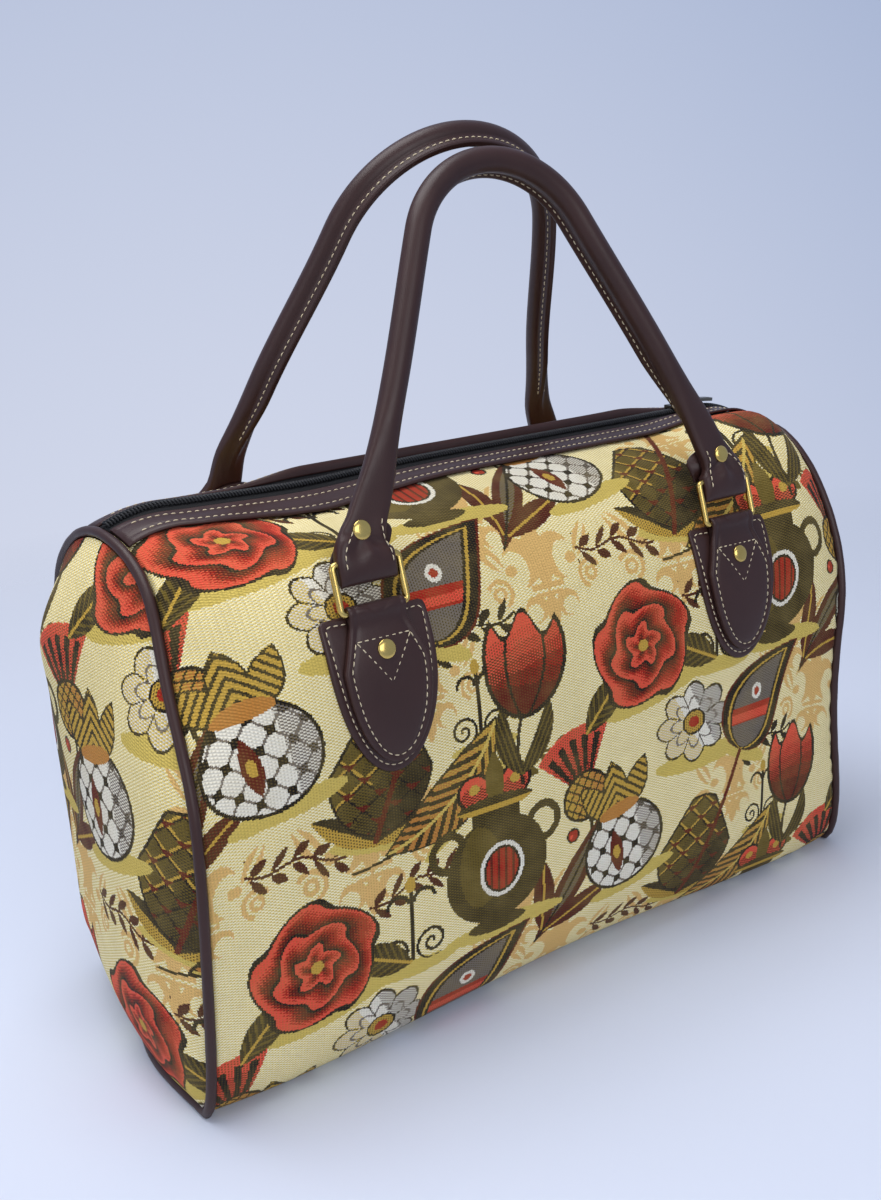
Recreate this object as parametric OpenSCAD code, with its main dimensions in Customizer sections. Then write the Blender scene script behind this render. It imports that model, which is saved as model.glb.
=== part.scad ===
// Carpet bag: a soft woven holdall with piped ends, a zip along the top and two rolled handles.
// Length runs along X, the front faces -Y, and the floor is at z = 0.

/* [Bag] */
// Length from seam to seam at the floor
bag_length = 460; // [420:2:500]
// Depth from front to back at the widest height
bag_depth = 204; // [190:2:230]
// Height of the cloth along the zip
bag_height = 291; // [270:1:310]
// Height of the widest part of the bag
widest_height = 165; // [150:1:180]
// Width of the part of the bottom that lies flat
floor_width = 152; // [120:2:164]
// Distance by which each end is set back at the top
end_setback = 22; // [8:1:30]
// Height by which the zip line drops at each end
drop_height = 8; // [2:1:12]
// Depth by which front and back draw in at each end seam
end_narrowing = 4; // [0:1:8]
// Depth by which each end panel swells outward
swell_depth = 19; // [6:1:24]
// Thickness of the woven cloth with its padding
cloth_thickness = 2.4; // [1.6:0.1:3.2]
// Thickness of the lining cloth
lining_thickness = 0.8; // [0.5:0.1:1.2]
// Thickness of the stiff board in the bottom
board_thickness = 3; // [2:0.5:4]
// Thickness of the piping cord round each end
piping_width = 5.4; // [4:0.2:6.4]

/* [Zip] */
// Width of the open strip between the two bands
slot_width = 13; // [12.6:0.2:16]
// Width of the leather band on each side of the zip
band_width = 19; // [14:0.5:24]
// Thickness of the leather band
band_thickness = 1.6; // [1:0.1:2.2]
// Thickness of the zip tape
tape_thickness = 0.8; // [0.5:0.1:1.2]
// Width of one zip tape
tape_width = 23; // [19:0.5:24]
// Width of both rows of the zip coil together
coil_width = 8; // [6:0.2:8.4]
// Height of the zip coil above its tape
coil_height = 3.2; // [2.4:0.1:3.8]
// Length of the zip slider
slider_length = 14; // [11:0.5:16]
// Width of the zip slider
slider_width = 11; // [10.8:0.2:11.6]
// Distance of the closed slider from the end of the level stretch of the zip
slider_margin = 3.35; // [1:0.05:12]
// Length of the pull on the slider
pull_length = 24; // [18:1:28]
// Width of the pull
pull_width = 8; // [6:0.5:9]
// Angle by which the pull dips over the end
pull_angle = 6; // [0:1:8]

/* [Tabs and rings] */
// Distance of each tab from the middle of the bag
tab_place = 120; // [112:1:128]
// Width of the sewn patch under each tab
patch_width = 60; // [52:1:64]
// Length of the patch from its tip to the fold of the tab
patch_length = 79; // [70:1:90]
// Length of the patch's rounded tip
patch_tip_length = 62; // [52:1:66]
// Thickness of the patch
patch_thickness = 1.6; // [1:0.1:2.2]
// Width of the wide part of the folded tab
tab_width = 48; // [40:1:50]
// Length of the tab's rounded tip
tab_tip_length = 50; // [42:1:52]
// Thickness of the two layers of the folded tab
tab_thickness = 3.4; // [2.6:0.2:4.2]
// Width of the tab at its fold
fold_width = 32; // [28:0.5:32]
// Distance below the zip at which the tab leaves the cloth
fold_drop = 48; // [42:1:54]
// Distance of the tab rivet below the fold
tab_rivet_drop = 18; // [16:1:24]
// Width of the tab rivet's cap
tab_rivet_width = 7.5; // [6.5:0.5:9]
// Thickness of the ring wire
wire_width = 3.6; // [3:0.2:4]
// Distance between the middles of the ring's legs
ring_width = 37; // [37:0.5:41]
// Distance between the middles of the ring's bars
ring_height = 24; // [22:1:30]
// Radius of the ring's corners at the middle of the wire
ring_corner = 2.4; // [2.1:0.1:2.4]

/* [Handles] */
// Thickness of the rolled handle
handle_width = 13.5; // [11:0.5:18]
// Rise of the front handle from its rings
front_rise = 188; // [170:1:205]
// Rise of the back handle from its rings
back_rise = 219; // [205:1:235]
// Radius of the bend at the top of the front handle
front_bend = 57; // [48:1:70]
// Radius of the bend at the top of the back handle
back_bend = 73; // [60:1:80]
// Angle by which the front handle leans over the bag
front_angle = 15.5; // [10:0.5:20]
// Angle by which the back handle leans over the bag
back_angle = 26; // [20:0.5:27]
// Radius of the bend just above each ring
shoulder_bend = 50; // [40:2:80]
// Length of the handle that stands straight on the ring
start_length = 5; // [3:0.5:8]
// Width of the flat end of a handle at its ring
end_width = 32; // [28:0.5:32]
// Length over which the flat end narrows to the handle's width
end_narrowing_length = 30; // [24:1:36]
// Thickness of the flat end of a handle
end_thickness = 7; // [6:0.2:8]
// Length of the flat end of a handle
end_length = 24; // [20:1:28]
// Length over which the flat end becomes round
end_taper = 26; // [16:1:34]
// Height of the handle rivet above the ring
handle_rivet_height = 14; // [12:0.5:16]
// Width of the handle rivet's cap
handle_rivet_width = 8.5; // [7:0.5:10]
// Height of each rivet cap
rivet_rise = 2; // [1.6:0.1:2.6]
// Thickness of each rivet shank
shank_width = 4; // [3:0.2:4.6]

/* [Fits] */
// Gap between sewn layers
layer_gap = 0.3; // [0.2:0.05:0.4]
// Gap beside the piping
seam_gap = 0.3; // [0.2:0.05:0.5]
// Gap round a wire or pin that turns
turning_gap = 0.05; // [0.03:0.01:0.08]
// Gap round the sliding zip slider
slide_gap = 0.3; // [0.2:0.05:0.5]
// Length by which a cutter runs past what it cuts
overrun = 1; // [0.5:0.5:2]

/* [Hidden] */
$fn = 48;

half_length = bag_length / 2;
half_depth = bag_depth / 2;
floor_half = floor_width / 2;
slot_half = slot_width / 2;
piping_radius = piping_width / 2;
wire_radius = wire_width / 2;
shank_radius = shank_width / 2;
handle_radius = handle_width / 2;

// Shape of the section: shares along half the bag, and the powers of its rounded corners
straight_share = 0.76;
level_share = 0.87;
dome_power = 2.4;
end_dome_power = 1.85;
side_power = 2.8;
lean_power = 2.2;
swell_power = 3.2;
station_shares = [-1, -0.96, -0.92, -0.87, -0.82, -0.76, 0.76, 0.82, 0.87, 0.92, 0.96, 1];
dome_steps = 11;
side_steps = 8;
loop_dome_steps = 14;
loop_side_steps = 8;
floor_steps = 4;
piping_sides = 8;
panel_shares = [0.35, 0.62, 0.82, 0.94, 1];
lining_shares = [0.45, 0.8, 1];
// Small step used to find the slope of the cloth, as a share of its height
probe = bag_height * 0.002;

function end_blend(s) =
    let (t = max(0, (abs(s) - straight_share) / (1 - straight_share))) t * t;
function drop_blend(s) =
    let (t = max(0, (abs(s) - level_share) / (1 - level_share))) t * t;
function section_half(s) = half_depth - end_narrowing * end_blend(s);
function section_floor(s) = floor_half - end_narrowing * end_blend(s);
function section_top(s) = bag_height - drop_height * drop_blend(s);
function section_power(s) = dome_power + (end_dome_power - dome_power) * end_blend(s);
function seam_x(z) = half_length - end_setback * pow(max(0, z) / bag_height, lean_power);
function cloth_x(z) = seam_x(z) - piping_radius - seam_gap;

function dome_point(s, a) =
    let (e = 2 / section_power(s))
    [section_half(s) * pow(sin(a), e), widest_height + (section_top(s) - widest_height) * pow(cos(a), e)];
function side_point(s, b) =
    let (e = 2 / side_power)
    let (foot = section_floor(s))
    [foot + (section_half(s) - foot) * pow(cos(b), e), widest_height * (1 - pow(sin(b), e))];
function edge_angle(s, y) = asin(pow(y / section_half(s), section_power(s) / 2));

// Half of a section from the zip edge down to the flat of the floor, as [depth, height]
function half_section(s, y, dome_count, side_count) =
    let (a = edge_angle(s, y))
    concat([for (i = [0:dome_count]) dome_point(s, a + (90 - a) * i / dome_count)],
        [for (j = [1:side_count]) side_point(s, 90 * j / side_count)]);
function mirror_depth(list) = [for (p = list) [-p[0], p[1]]];
function reversed(list) = [for (i = [len(list) - 1:-1:0]) list[i]];
function open_section(s, y) =
    let (h = half_section(s, y, dome_steps, side_steps))
    concat(mirror_depth(h), reversed(h));

// A line of points moved outward by h
function outset(list, h) =
    let (last = len(list) - 1)
    [for (i = [0:last])
        let (t = list[min(last, i + 1)] - list[max(0, i - 1)])
        list[i] + h * [t[1], -t[0]] / norm(t)];
function placed(s, list) = [for (p = list) [s * cloth_x(p[1]), p[0], p[1]]];
function cloth_rows(h) =
    [for (s = station_shares) placed(s, outset(open_section(s, slot_half), h))];

// Height and outward direction of the cloth at a depth near the zip
function top_height(s, y) =
    let (n = section_power(s))
    widest_height + (section_top(s) - widest_height) * pow(1 - pow(y / section_half(s), n), 1 / n);
function top_strip(s, y0, y1, count, h) =
    let (line = [for (i = [0:count]) let (y = y0 + (y1 - y0) * i / count) [-y, top_height(s, y)]])
    outset(line, h);

// Depth of the cloth at a height in the straight middle of the bag, and a point h outside it
function cloth_depth(z) =
    z > widest_height
    ? half_depth * pow(1 - pow((z - widest_height) / (bag_height - widest_height), dome_power), 1 / dome_power)
    : floor_half + (half_depth - floor_half) * pow(1 - pow(1 - z / widest_height, side_power), 1 / side_power);
function cloth_slope(z) = (cloth_depth(z + probe) - cloth_depth(z - probe)) / (2 * probe);
function outside(z, h) =
    let (k = cloth_slope(z))
    [cloth_depth(z), z] + h * [1, -k] / norm([1, k]);

// Closed sheet between an outer and an inner grid of points
module sheet(outer, inner) {
    rows = len(outer);
    width = len(outer[0]);
    half = rows * width;
    points = concat([for (r = outer) each r], [for (r = inner) each r]);
    skin_faces = [for (i = [0:rows - 2], j = [0:width - 2])
        let (a = i * width + j)
        let (b = a + half)
        each [[a, a + width + 1, a + 1], [a, a + width, a + width + 1],
            [b, b + 1, b + width + 1], [b, b + width + 1, b + width]]];
    first_faces = [for (i = [0:rows - 2])
        let (a = i * width, c = a + width)
        each [[c, a, a + half], [c, a + half, c + half]]];
    last_faces = [for (i = [0:rows - 2])
        let (b = i * width + width - 1, d = b + width)
        each [[b, d, d + half], [b, d + half, b + half]]];
    left_faces = [for (j = [0:width - 2])
        each [[j, j + 1, j + 1 + half], [j, j + 1 + half, j + half]]];
    right_faces = [for (j = [0:width - 2])
        let (c = half - width + j, d = c + 1)
        each [[d, c, c + half], [d, c + half, d + half]]];
    polyhedron(points = points, faces = concat(skin_faces, first_faces, last_faces, left_faces, right_faces),
        convexity = 6);
}

// Tube through a list of rings of points; closed joins its ends, otherwise they are capped
module tube(rings, closed) {
    count = len(rings);
    sides = len(rings[0]);
    wall = [for (i = [0:count - (closed ? 1 : 2)], j = [0:sides - 1])
        let (a = i * sides + j, b = i * sides + (j + 1) % sides)
        let (c = (a + sides) % (count * sides), d = (b + sides) % (count * sides))
        each [[a, d, b], [a, c, d]]];
    caps = closed
        ? []
        : [[for (j = [0:sides - 1]) j], [for (j = [sides - 1:-1:0]) (count - 1) * sides + j]];
    polyhedron(points = [for (r = rings) each r], faces = concat(wall, caps), convexity = 6);
}

// Cloth of the front, bottom and back in one piece, open along the zip
module body_cloth() {
    color([0.80, 0.72, 0.52]) sheet(cloth_rows(0), cloth_rows(-cloth_thickness));
}

// Lining sewn in behind the cloth
lining_depth = cloth_thickness + layer_gap;
module body_lining() {
    color([0.62, 0.55, 0.45])
        sheet(cloth_rows(-lining_depth), cloth_rows(-lining_depth - lining_thickness));
}

// Outline of an end, from the top round the front, the floor and the back, as [depth, height]
function floor_line(s) =
    let (p = side_point(s, 90))
    [for (i = [1:floor_steps - 1]) [-p[0] + 2 * p[0] * i / floor_steps, p[1]]];
function end_outline() =
    let (h = half_section(1, 0, loop_dome_steps, loop_side_steps))
    let (front = mirror_depth(h), back = reversed(h))
    concat(front, floor_line(1), [for (i = [0:len(back) - 2]) back[i]]);
function loop_outset(list, h) =
    let (count = len(list))
    [for (i = [0:count - 1])
        let (t = list[(i + 1) % count] - list[(i + count - 1) % count])
        list[i] + h * [t[1], -t[0]] / norm(t)];
function piping_line() =
    [for (p = end_outline()) [seam_x(p[1]), p[0], max(p[1], piping_radius)]];

module end_piping() {
    line = piping_line();
    count = len(line);
    flat = [for (p = line) [p[1], p[2]]];
    out = loop_outset(flat, 1) - flat;
    rings = [for (i = [0:count - 1])
        let (t = line[(i + 1) % count] - line[(i + count - 1) % count])
        let (n = [0, out[i][0], out[i][1]])
        let (side = cross(t, n) / norm(cross(t, n)))
        let (up = cross(side, t) / norm(cross(side, t)))
        [for (j = [0:piping_sides - 1])
            let (a = 360 * (j + 0.5) / piping_sides)
            let (q = line[i] + piping_radius * (cos(a) * up + sin(a) * side))
            [q[0], q[1], max(0, q[2])]]];
    tube(rings, true);
}

module right_piping() {
    color([0.29, 0.20, 0.21]) end_piping();
}

module left_piping() {
    color([0.29, 0.20, 0.21]) mirror([1, 0, 0]) end_piping();
}

// Dished end panel inside the piping; inset is the margin to the piping line and depth its place inward
module dish(shares, inset, depth, thickness) {
    rim = loop_outset([for (p = piping_line()) [p[1], p[2]]], -inset);
    count = len(rim);
    middle = [0, (rim[0][1] + rim[floor(count / 2)][1]) / 2];
    shells = [for (inward = [depth, depth + thickness])
        concat([[seam_x(middle[1]) + swell_depth - inward, middle[0], middle[1]]],
            [for (share = shares, p = rim)
                let (q = middle + (p - middle) * share)
                [seam_x(q[1]) + swell_depth * (1 - pow(share, swell_power)) - inward, q[0], q[1]]])];
    size = len(shells[0]);
    outer = concat([for (j = [0:count - 1]) [0, 1 + j, 1 + (j + 1) % count]],
        [for (k = [0:len(shares) - 2], j = [0:count - 1])
            let (a = 1 + k * count + j, b = 1 + k * count + (j + 1) % count)
            each [[a, a + count, b + count], [a, b + count, b]]]);
    edge = [for (j = [0:count - 1])
        let (a = size - count + j, b = size - count + (j + 1) % count)
        each [[a, a + size, b + size], [a, b + size, b]]];
    inner = [for (f = outer) [f[2] + size, f[1] + size, f[0] + size]];
    polyhedron(points = concat(shells[0], shells[1]), faces = concat(outer, edge, inner), convexity = 4);
}

panel_inset = piping_radius + seam_gap;
panel_depth = -cloth_thickness / 2;
module right_end_panel() {
    color([0.80, 0.72, 0.52]) dish(panel_shares, panel_inset, panel_depth, cloth_thickness);
}

module left_end_panel() {
    color([0.80, 0.72, 0.52]) mirror([1, 0, 0]) dish(panel_shares, panel_inset, panel_depth, cloth_thickness);
}

end_lining_inset = lining_depth + lining_thickness + layer_gap + piping_radius;
end_lining_depth = cloth_thickness / 2 + 2 * layer_gap;
module right_end_lining() {
    color([0.62, 0.55, 0.45]) dish(lining_shares, end_lining_inset, end_lining_depth, lining_thickness);
}

module left_end_lining() {
    color([0.62, 0.55, 0.45])
        mirror([1, 0, 0]) dish(lining_shares, end_lining_inset, end_lining_depth, lining_thickness);
}

// Stiff board lying on the lining in the bottom
board_bottom = lining_depth + lining_thickness + layer_gap;
board_length_share = 0.9;
board_width_share = 0.88;
module base_board() {
    color([0.45, 0.38, 0.30])
        translate([-half_length * board_length_share, -floor_half * board_width_share, board_bottom])
            cube([bag_length * board_length_share, floor_width * board_width_share, board_thickness]);
}

// Sheet that follows the top of the front between two depths, h0 to h1 outside the cloth
module top_sheet(y0, y1, steps, h0, h1) {
    sheet([for (s = station_shares) placed(s, top_strip(s, y0, y1, steps, h1))],
        [for (s = station_shares) placed(s, top_strip(s, y0, y1, steps, h0))]);
}

// Zip tape lying on the edge of the cloth, and the leather band that covers it
tape_steps = 3;
tape_bottom = layer_gap;
tape_top = tape_bottom + tape_thickness;
coil_gap = layer_gap;
band_steps = 4;
band_bottom = tape_top + layer_gap;
band_edge = slot_half - layer_gap;
module zip_band() {
    top_sheet(band_edge, band_edge + band_width, band_steps, band_bottom, band_bottom + band_thickness);
}

module front_zip_band() {
    color([0.29, 0.20, 0.21]) zip_band();
}

module back_zip_band() {
    color([0.29, 0.20, 0.21]) rotate([0, 0, 180]) zip_band();
}

module zip_tape() {
    top_sheet(coil_gap / 2, tape_width, tape_steps, tape_bottom, tape_top);
}

module front_zip_tape() {
    color([0.10, 0.09, 0.09]) zip_tape();
}

module back_zip_tape() {
    color([0.10, 0.09, 0.09]) rotate([0, 0, 180]) zip_tape();
}

// Zip coil standing on the tape, as a line along X at a height above the cloth
coil_bottom = tape_top + layer_gap / 2;
coil_top = coil_bottom + coil_height;
function zip_line(above) =
    [for (s = station_shares) let (z = section_top(s) + above) [s * cloth_x(z), z]];
module zip_strip(high, low, y0, y1) {
    translate([0, y1, 0])
        rotate([90, 0, 0])
            linear_extrude(height = y1 - y0)
                polygon(concat(zip_line(high), reversed(zip_line(low))));
}

module front_zip_coil() {
    color([0.07, 0.07, 0.07])
        zip_strip(coil_top, coil_bottom, -coil_width / 2, -coil_gap / 2);
}

module back_zip_coil() {
    color([0.07, 0.07, 0.07])
        zip_strip(coil_top, coil_bottom, coil_gap / 2, coil_width / 2);
}

// Zip slider: a plate over the coil with two flanges and a pin between two lugs
slider_place = level_share * cloth_x(bag_height) - slider_length / 2 - slider_margin;
plate_thickness = slider_width * 0.15;
flange_thickness = (slider_width - coil_width) / 2 - slide_gap;
plate_bottom = bag_height + coil_top + slide_gap;
plate_top = plate_bottom + plate_thickness;
lug_thickness = slider_width * 0.12;
pin_radius = slider_width * 0.09;
eye_radius = pin_radius * 2;
pin_height = plate_top + eye_radius + slide_gap;
pin_place = slider_place + slider_length / 2 - eye_radius;
eye_width = slider_width * 0.36;
nose_share = 0.55;

module zip_slider() {
    flange_bottom = bag_height + tape_top + slide_gap;
    flange_length = slider_length * nose_share;
    color([0.42, 0.40, 0.38])
        union() {
            translate([slider_place, 0, plate_bottom])
                linear_extrude(height = plate_thickness)
                    polygon([[-slider_length / 2, -slider_width / 2],
                        [slider_length / 2 - flange_thickness, -slider_width / 2],
                        [slider_length / 2, -slider_width * nose_share / 2],
                        [slider_length / 2, slider_width * nose_share / 2],
                        [slider_length / 2 - flange_thickness, slider_width / 2],
                        [-slider_length / 2, slider_width / 2]]);
            for (side = [-1, 1])
                translate([slider_place - slider_length / 2,
                    side * (slider_width - flange_thickness) / 2 - flange_thickness / 2, flange_bottom])
                    cube([flange_length, flange_thickness, plate_top - flange_bottom]);
            for (side = [-1, 1])
                translate([pin_place - eye_radius,
                    side * (eye_width / 2 + slide_gap + lug_thickness / 2) - lug_thickness / 2, plate_bottom])
                    cube([2 * eye_radius, lug_thickness, pin_height + eye_radius - plate_bottom]);
            translate([pin_place, eye_width / 2 + slide_gap + lug_thickness / 2, pin_height])
                rotate([90, 0, 0])
                    cylinder(r = pin_radius, h = eye_width + 2 * slide_gap + lug_thickness);
        }
}

// Pull hanging on the slider's pin
pull_thickness = eye_radius;
pull_hole_share = 0.5;
module zip_pull() {
    color([0.42, 0.40, 0.38])
        translate([pin_place, 0, pin_height])
            rotate([0, pull_angle, 0])
                difference() {
                    union() {
                        translate([0, eye_width / 2, 0])
                            rotate([90, 0, 0])
                                cylinder(r = eye_radius, h = eye_width);
                        translate([0, -eye_width / 2, -pull_thickness / 2])
                            cube([pull_length / 2, eye_width, pull_thickness]);
                        translate([pull_length - pull_width / 2, 0, -pull_thickness / 2])
                            cylinder(r = pull_width / 2, h = pull_thickness);
                        translate([pull_length / 2 - pull_width / 4, -pull_width / 2, -pull_thickness / 2])
                            cube([pull_length / 2 - pull_width / 4, pull_width, pull_thickness]);
                    }
                    translate([0, eye_width / 2 + overrun, 0])
                        rotate([90, 0, 0])
                            cylinder(r = pin_radius + turning_gap, h = eye_width + 2 * overrun);
                    translate([pull_length - pull_width / 2, 0, -pull_thickness / 2 - overrun])
                        cylinder(r = pull_width * pull_hole_share / 2, h = pull_thickness + 2 * overrun);
                }
}

// Strip that follows the front of the bag between two heights, between two distances from the cloth
strip_steps = 9;
module front_strip(z0, z1, h0, h1, width) {
    line = [for (i = [0:strip_steps]) z0 + (z1 - z0) * i / strip_steps];
    outer = [for (z = line) let (p = outside(z, h1)) [-p[0], p[1]]];
    inner = [for (z = reversed(line)) let (p = outside(z, h0)) [-p[0], p[1]]];
    rotate([90, 0, 90])
        translate([0, 0, -width / 2])
            linear_extrude(height = width)
                polygon(concat(outer, inner));
}

module front_cut() {
    rotate([90, 0, 0])
        linear_extrude(height = bag_depth)
            children();
}

fold_height = bag_height - fold_drop;
patch_tip_height = fold_height - patch_length;
tab_rivet_height = fold_height - tab_rivet_drop;
patch_start = layer_gap;
patch_end = patch_start + patch_thickness;
tab_start = patch_end + layer_gap;
tab_end = tab_start + tab_thickness;
loop_radius = wire_radius + turning_gap + tab_thickness / 2;
fold_point = outside(fold_height, tab_start + loop_radius);
fold_depth = fold_point[0];
fold_rise = fold_point[1];
tab_tip_height = patch_tip_height + (patch_width - tab_width) / 2;
rivet_slope = atan(-cloth_slope(tab_rivet_height));
rivet_foot = outside(tab_rivet_height, patch_start + patch_thickness / 2);

// Places a rivet axis along the outward direction of the front at the tab rivet
module at_tab_rivet() {
    translate([0, -rivet_foot[0], rivet_foot[1]])
        rotate([90 - rivet_slope, 0, 0])
            children();
}

// Half oval at the tip of a patch or tab
tip_steps = 24;
function rounded_tip(width, tip_height, tip_length) =
    [for (i = [0:tip_steps])
        let (a = 180 + 180 * i / tip_steps)
        [width / 2 * cos(a), tip_height + tip_length * (1 + sin(a))]];

module patch() {
    difference() {
        intersection() {
            front_strip(patch_tip_height - overrun, fold_height, patch_start, patch_end, patch_width + overrun);
            front_cut()
                polygon(concat(rounded_tip(patch_width, patch_tip_height, patch_tip_length),
                    [[patch_width / 2, bag_height], [-patch_width / 2, bag_height]]));
        }
        at_tab_rivet()
            cylinder(r = shank_radius + turning_gap, h = patch_thickness + overrun);
    }
}

module tab() {
    difference() {
        union() {
            intersection() {
                front_strip(tab_tip_height - overrun, fold_height, tab_start, tab_end, tab_width + overrun);
                front_cut()
                    polygon(concat(rounded_tip(tab_width, tab_tip_height, tab_tip_length),
                        [[fold_width / 2, fold_height - loop_radius], [fold_width / 2, bag_height],
                            [-fold_width / 2, bag_height], [-fold_width / 2, fold_height - loop_radius]]));
            }
            translate([-fold_width / 2, -fold_depth, fold_rise])
                rotate([0, 90, 0])
                    cylinder(r = loop_radius, h = fold_width);
        }
        translate([-tab_width / 2 - overrun, -fold_depth, fold_rise])
            rotate([0, 90, 0])
                cylinder(r = wire_radius + turning_gap, h = tab_width + 2 * overrun);
        at_tab_rivet()
            translate([0, 0, -overrun])
                cylinder(r = shank_radius + turning_gap, h = tab_end + 2 * overrun);
    }
}

// Domed rivet with its shank along Z; length is from the foot to the underside of the cap
module rivet(width, length) {
    cap_radius = width / 2;
    dome_radius = (cap_radius * cap_radius + rivet_rise * rivet_rise) / (2 * rivet_rise);
    union() {
        cylinder(r = shank_radius, h = length + rivet_rise / 4);
        translate([0, 0, length])
            intersection() {
                cylinder(r = cap_radius, h = rivet_rise);
                translate([0, 0, rivet_rise - dome_radius])
                    sphere(r = dome_radius);
            }
    }
}

module tab_rivet() {
    at_tab_rivet()
        rivet(tab_rivet_width, tab_end - patch_start - patch_thickness / 2 + layer_gap);
}

module front_left_patch() {
    color([0.29, 0.20, 0.21]) translate([-tab_place, 0, 0]) patch();
}

module front_right_patch() {
    color([0.29, 0.20, 0.21]) translate([tab_place, 0, 0]) patch();
}

module back_left_patch() {
    color([0.29, 0.20, 0.21]) rotate([0, 0, 180]) translate([tab_place, 0, 0]) patch();
}

module back_right_patch() {
    color([0.29, 0.20, 0.21]) rotate([0, 0, 180]) translate([-tab_place, 0, 0]) patch();
}

module front_left_tab() {
    color([0.29, 0.20, 0.21]) translate([-tab_place, 0, 0]) tab();
}

module front_right_tab() {
    color([0.29, 0.20, 0.21]) translate([tab_place, 0, 0]) tab();
}

module back_left_tab() {
    color([0.29, 0.20, 0.21]) rotate([0, 0, 180]) translate([tab_place, 0, 0]) tab();
}

module back_right_tab() {
    color([0.29, 0.20, 0.21]) rotate([0, 0, 180]) translate([-tab_place, 0, 0]) tab();
}

module front_tab_rivets() {
    color([0.66, 0.52, 0.28])
        for (side = [-1, 1])
            translate([side * tab_place, 0, 0]) tab_rivet();
}

module back_tab_rivets() {
    color([0.66, 0.52, 0.28])
        rotate([0, 0, 180])
            for (side = [-1, 1])
                translate([side * tab_place, 0, 0]) tab_rivet();
}

// Rectangular wire ring standing on its lower bar, which lies along X through the origin
module ring() {
    straight = ring_width - 2 * ring_corner;
    leg = ring_height - 2 * ring_corner;
    union() {
        for (z = [0, ring_height])
            translate([-straight / 2, 0, z])
                rotate([0, 90, 0])
                    cylinder(r = wire_radius, h = straight);
        for (x = [-ring_width / 2, ring_width / 2])
            translate([x, 0, ring_corner])
                cylinder(r = wire_radius, h = leg);
        for (turn = [0, 1, 2, 3])
            translate([(turn == 0 || turn == 3 ? 1 : -1) * straight / 2, 0,
                turn < 2 ? ring_height - ring_corner : ring_corner])
                rotate([90, -90 * turn, 0])
                    rotate_extrude(angle = 90)
                        translate([ring_corner, 0])
                            circle(r = wire_radius);
    }
}

// Moves to the lower bar of a front ring, leaning in by an angle
module at_front_ring(angle) {
    translate([0, -fold_depth, fold_rise])
        rotate([-angle, 0, 0])
            children();
}

module front_left_ring() {
    color([0.66, 0.52, 0.28]) at_front_ring(front_angle) translate([-tab_place, 0, 0]) ring();
}

module front_right_ring() {
    color([0.66, 0.52, 0.28]) at_front_ring(front_angle) translate([tab_place, 0, 0]) ring();
}

module back_left_ring() {
    color([0.66, 0.52, 0.28])
        rotate([0, 0, 180]) at_front_ring(back_angle) translate([tab_place, 0, 0]) ring();
}

module back_right_ring() {
    color([0.66, 0.52, 0.28])
        rotate([0, 0, 180]) at_front_ring(back_angle) translate([-tab_place, 0, 0]) ring();
}

// Middle line of half a handle from the ring to the top, as [x, height, turn]
shoulder_steps = 4;
bend_steps = 6;
leg_steps = 5;
function handle_turn(rise, bend) =
    let (d = [shoulder_bend - tab_place, rise - bend - start_length])
    atan2(d[1], d[0]) - acos((shoulder_bend - bend) / norm(d));
function half_handle(rise, bend) =
    let (turn = handle_turn(rise, bend))
    let (low = [tab_place - shoulder_bend, start_length], high = [0, rise - bend])
    let (a = low + shoulder_bend * [cos(turn), sin(turn)], b = high + bend * [cos(turn), sin(turn)])
    concat([[tab_place, 0, 0]],
        [for (i = [0:shoulder_steps])
            let (t = turn * i / shoulder_steps)
            [low[0] + shoulder_bend * cos(t), low[1] + shoulder_bend * sin(t), t]],
        [for (i = [1:leg_steps])
            let (p = a + (b - a) * i / leg_steps)
            [p[0], p[1], turn]],
        [for (i = [1:bend_steps])
            let (t = turn + (90 - turn) * i / bend_steps)
            [high[0] + bend * cos(t), high[1] + bend * sin(t), t]]);
function handle_line(rise, bend) =
    let (half = half_handle(rise, bend), last = len(half) - 1)
    concat(half, [for (i = [last - 1:-1:0]) [-half[i][0], half[i][1], 180 - half[i][2]]]);

// Section of a handle: wide and flat at the rings, round above
flat_power = 4;
round_power = 2;
handle_sides = 12;
function signed_power(v, e) = sign(v) * pow(abs(v), e);
function handle_share(height, start, length) = min(1, max(0, (height - start) / length));
function handle_ring(p) =
    let (narrow = handle_share(p[1], start_length, end_narrowing_length))
    let (share = handle_share(p[1], end_length, end_taper))
    let (half_width = end_width / 2 + (handle_radius - end_width / 2) * narrow)
    let (half_thick = end_thickness / 2 + (handle_radius - end_thickness / 2) * share)
    let (e = 2 / (flat_power + (round_power - flat_power) * share))
    [for (j = [0:handle_sides - 1])
        let (a = 360 * (j + 0.5) / handle_sides)
        let (across = half_width * signed_power(cos(a), e), thick = half_thick * signed_power(sin(a), e))
        [p[0] + across * cos(p[2]), thick, p[1] + across * sin(p[2])]];

module handle(rise, bend) {
    line = handle_line(rise, bend);
    rings = [for (p = line) handle_ring(p)];
    bar_radius = end_thickness / 2 + tab_thickness / 2;
    difference() {
        union() {
            tube(rings, false);
            for (side = [-1, 1])
                translate([side * tab_place - end_width / 2, 0, 0])
                    rotate([0, 90, 0])
                        cylinder(r = bar_radius, h = end_width);
        }
        for (side = [-1, 1])
            translate([side * tab_place - end_width / 2 - overrun, 0, 0])
                rotate([0, 90, 0])
                    cylinder(r = wire_radius + turning_gap, h = end_width + 2 * overrun);
        for (side = [-1, 1])
            translate([side * tab_place, end_thickness, handle_rivet_height])
                rotate([90, 0, 0])
                    cylinder(r = shank_radius + turning_gap, h = 2 * end_thickness);
    }
}

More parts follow.
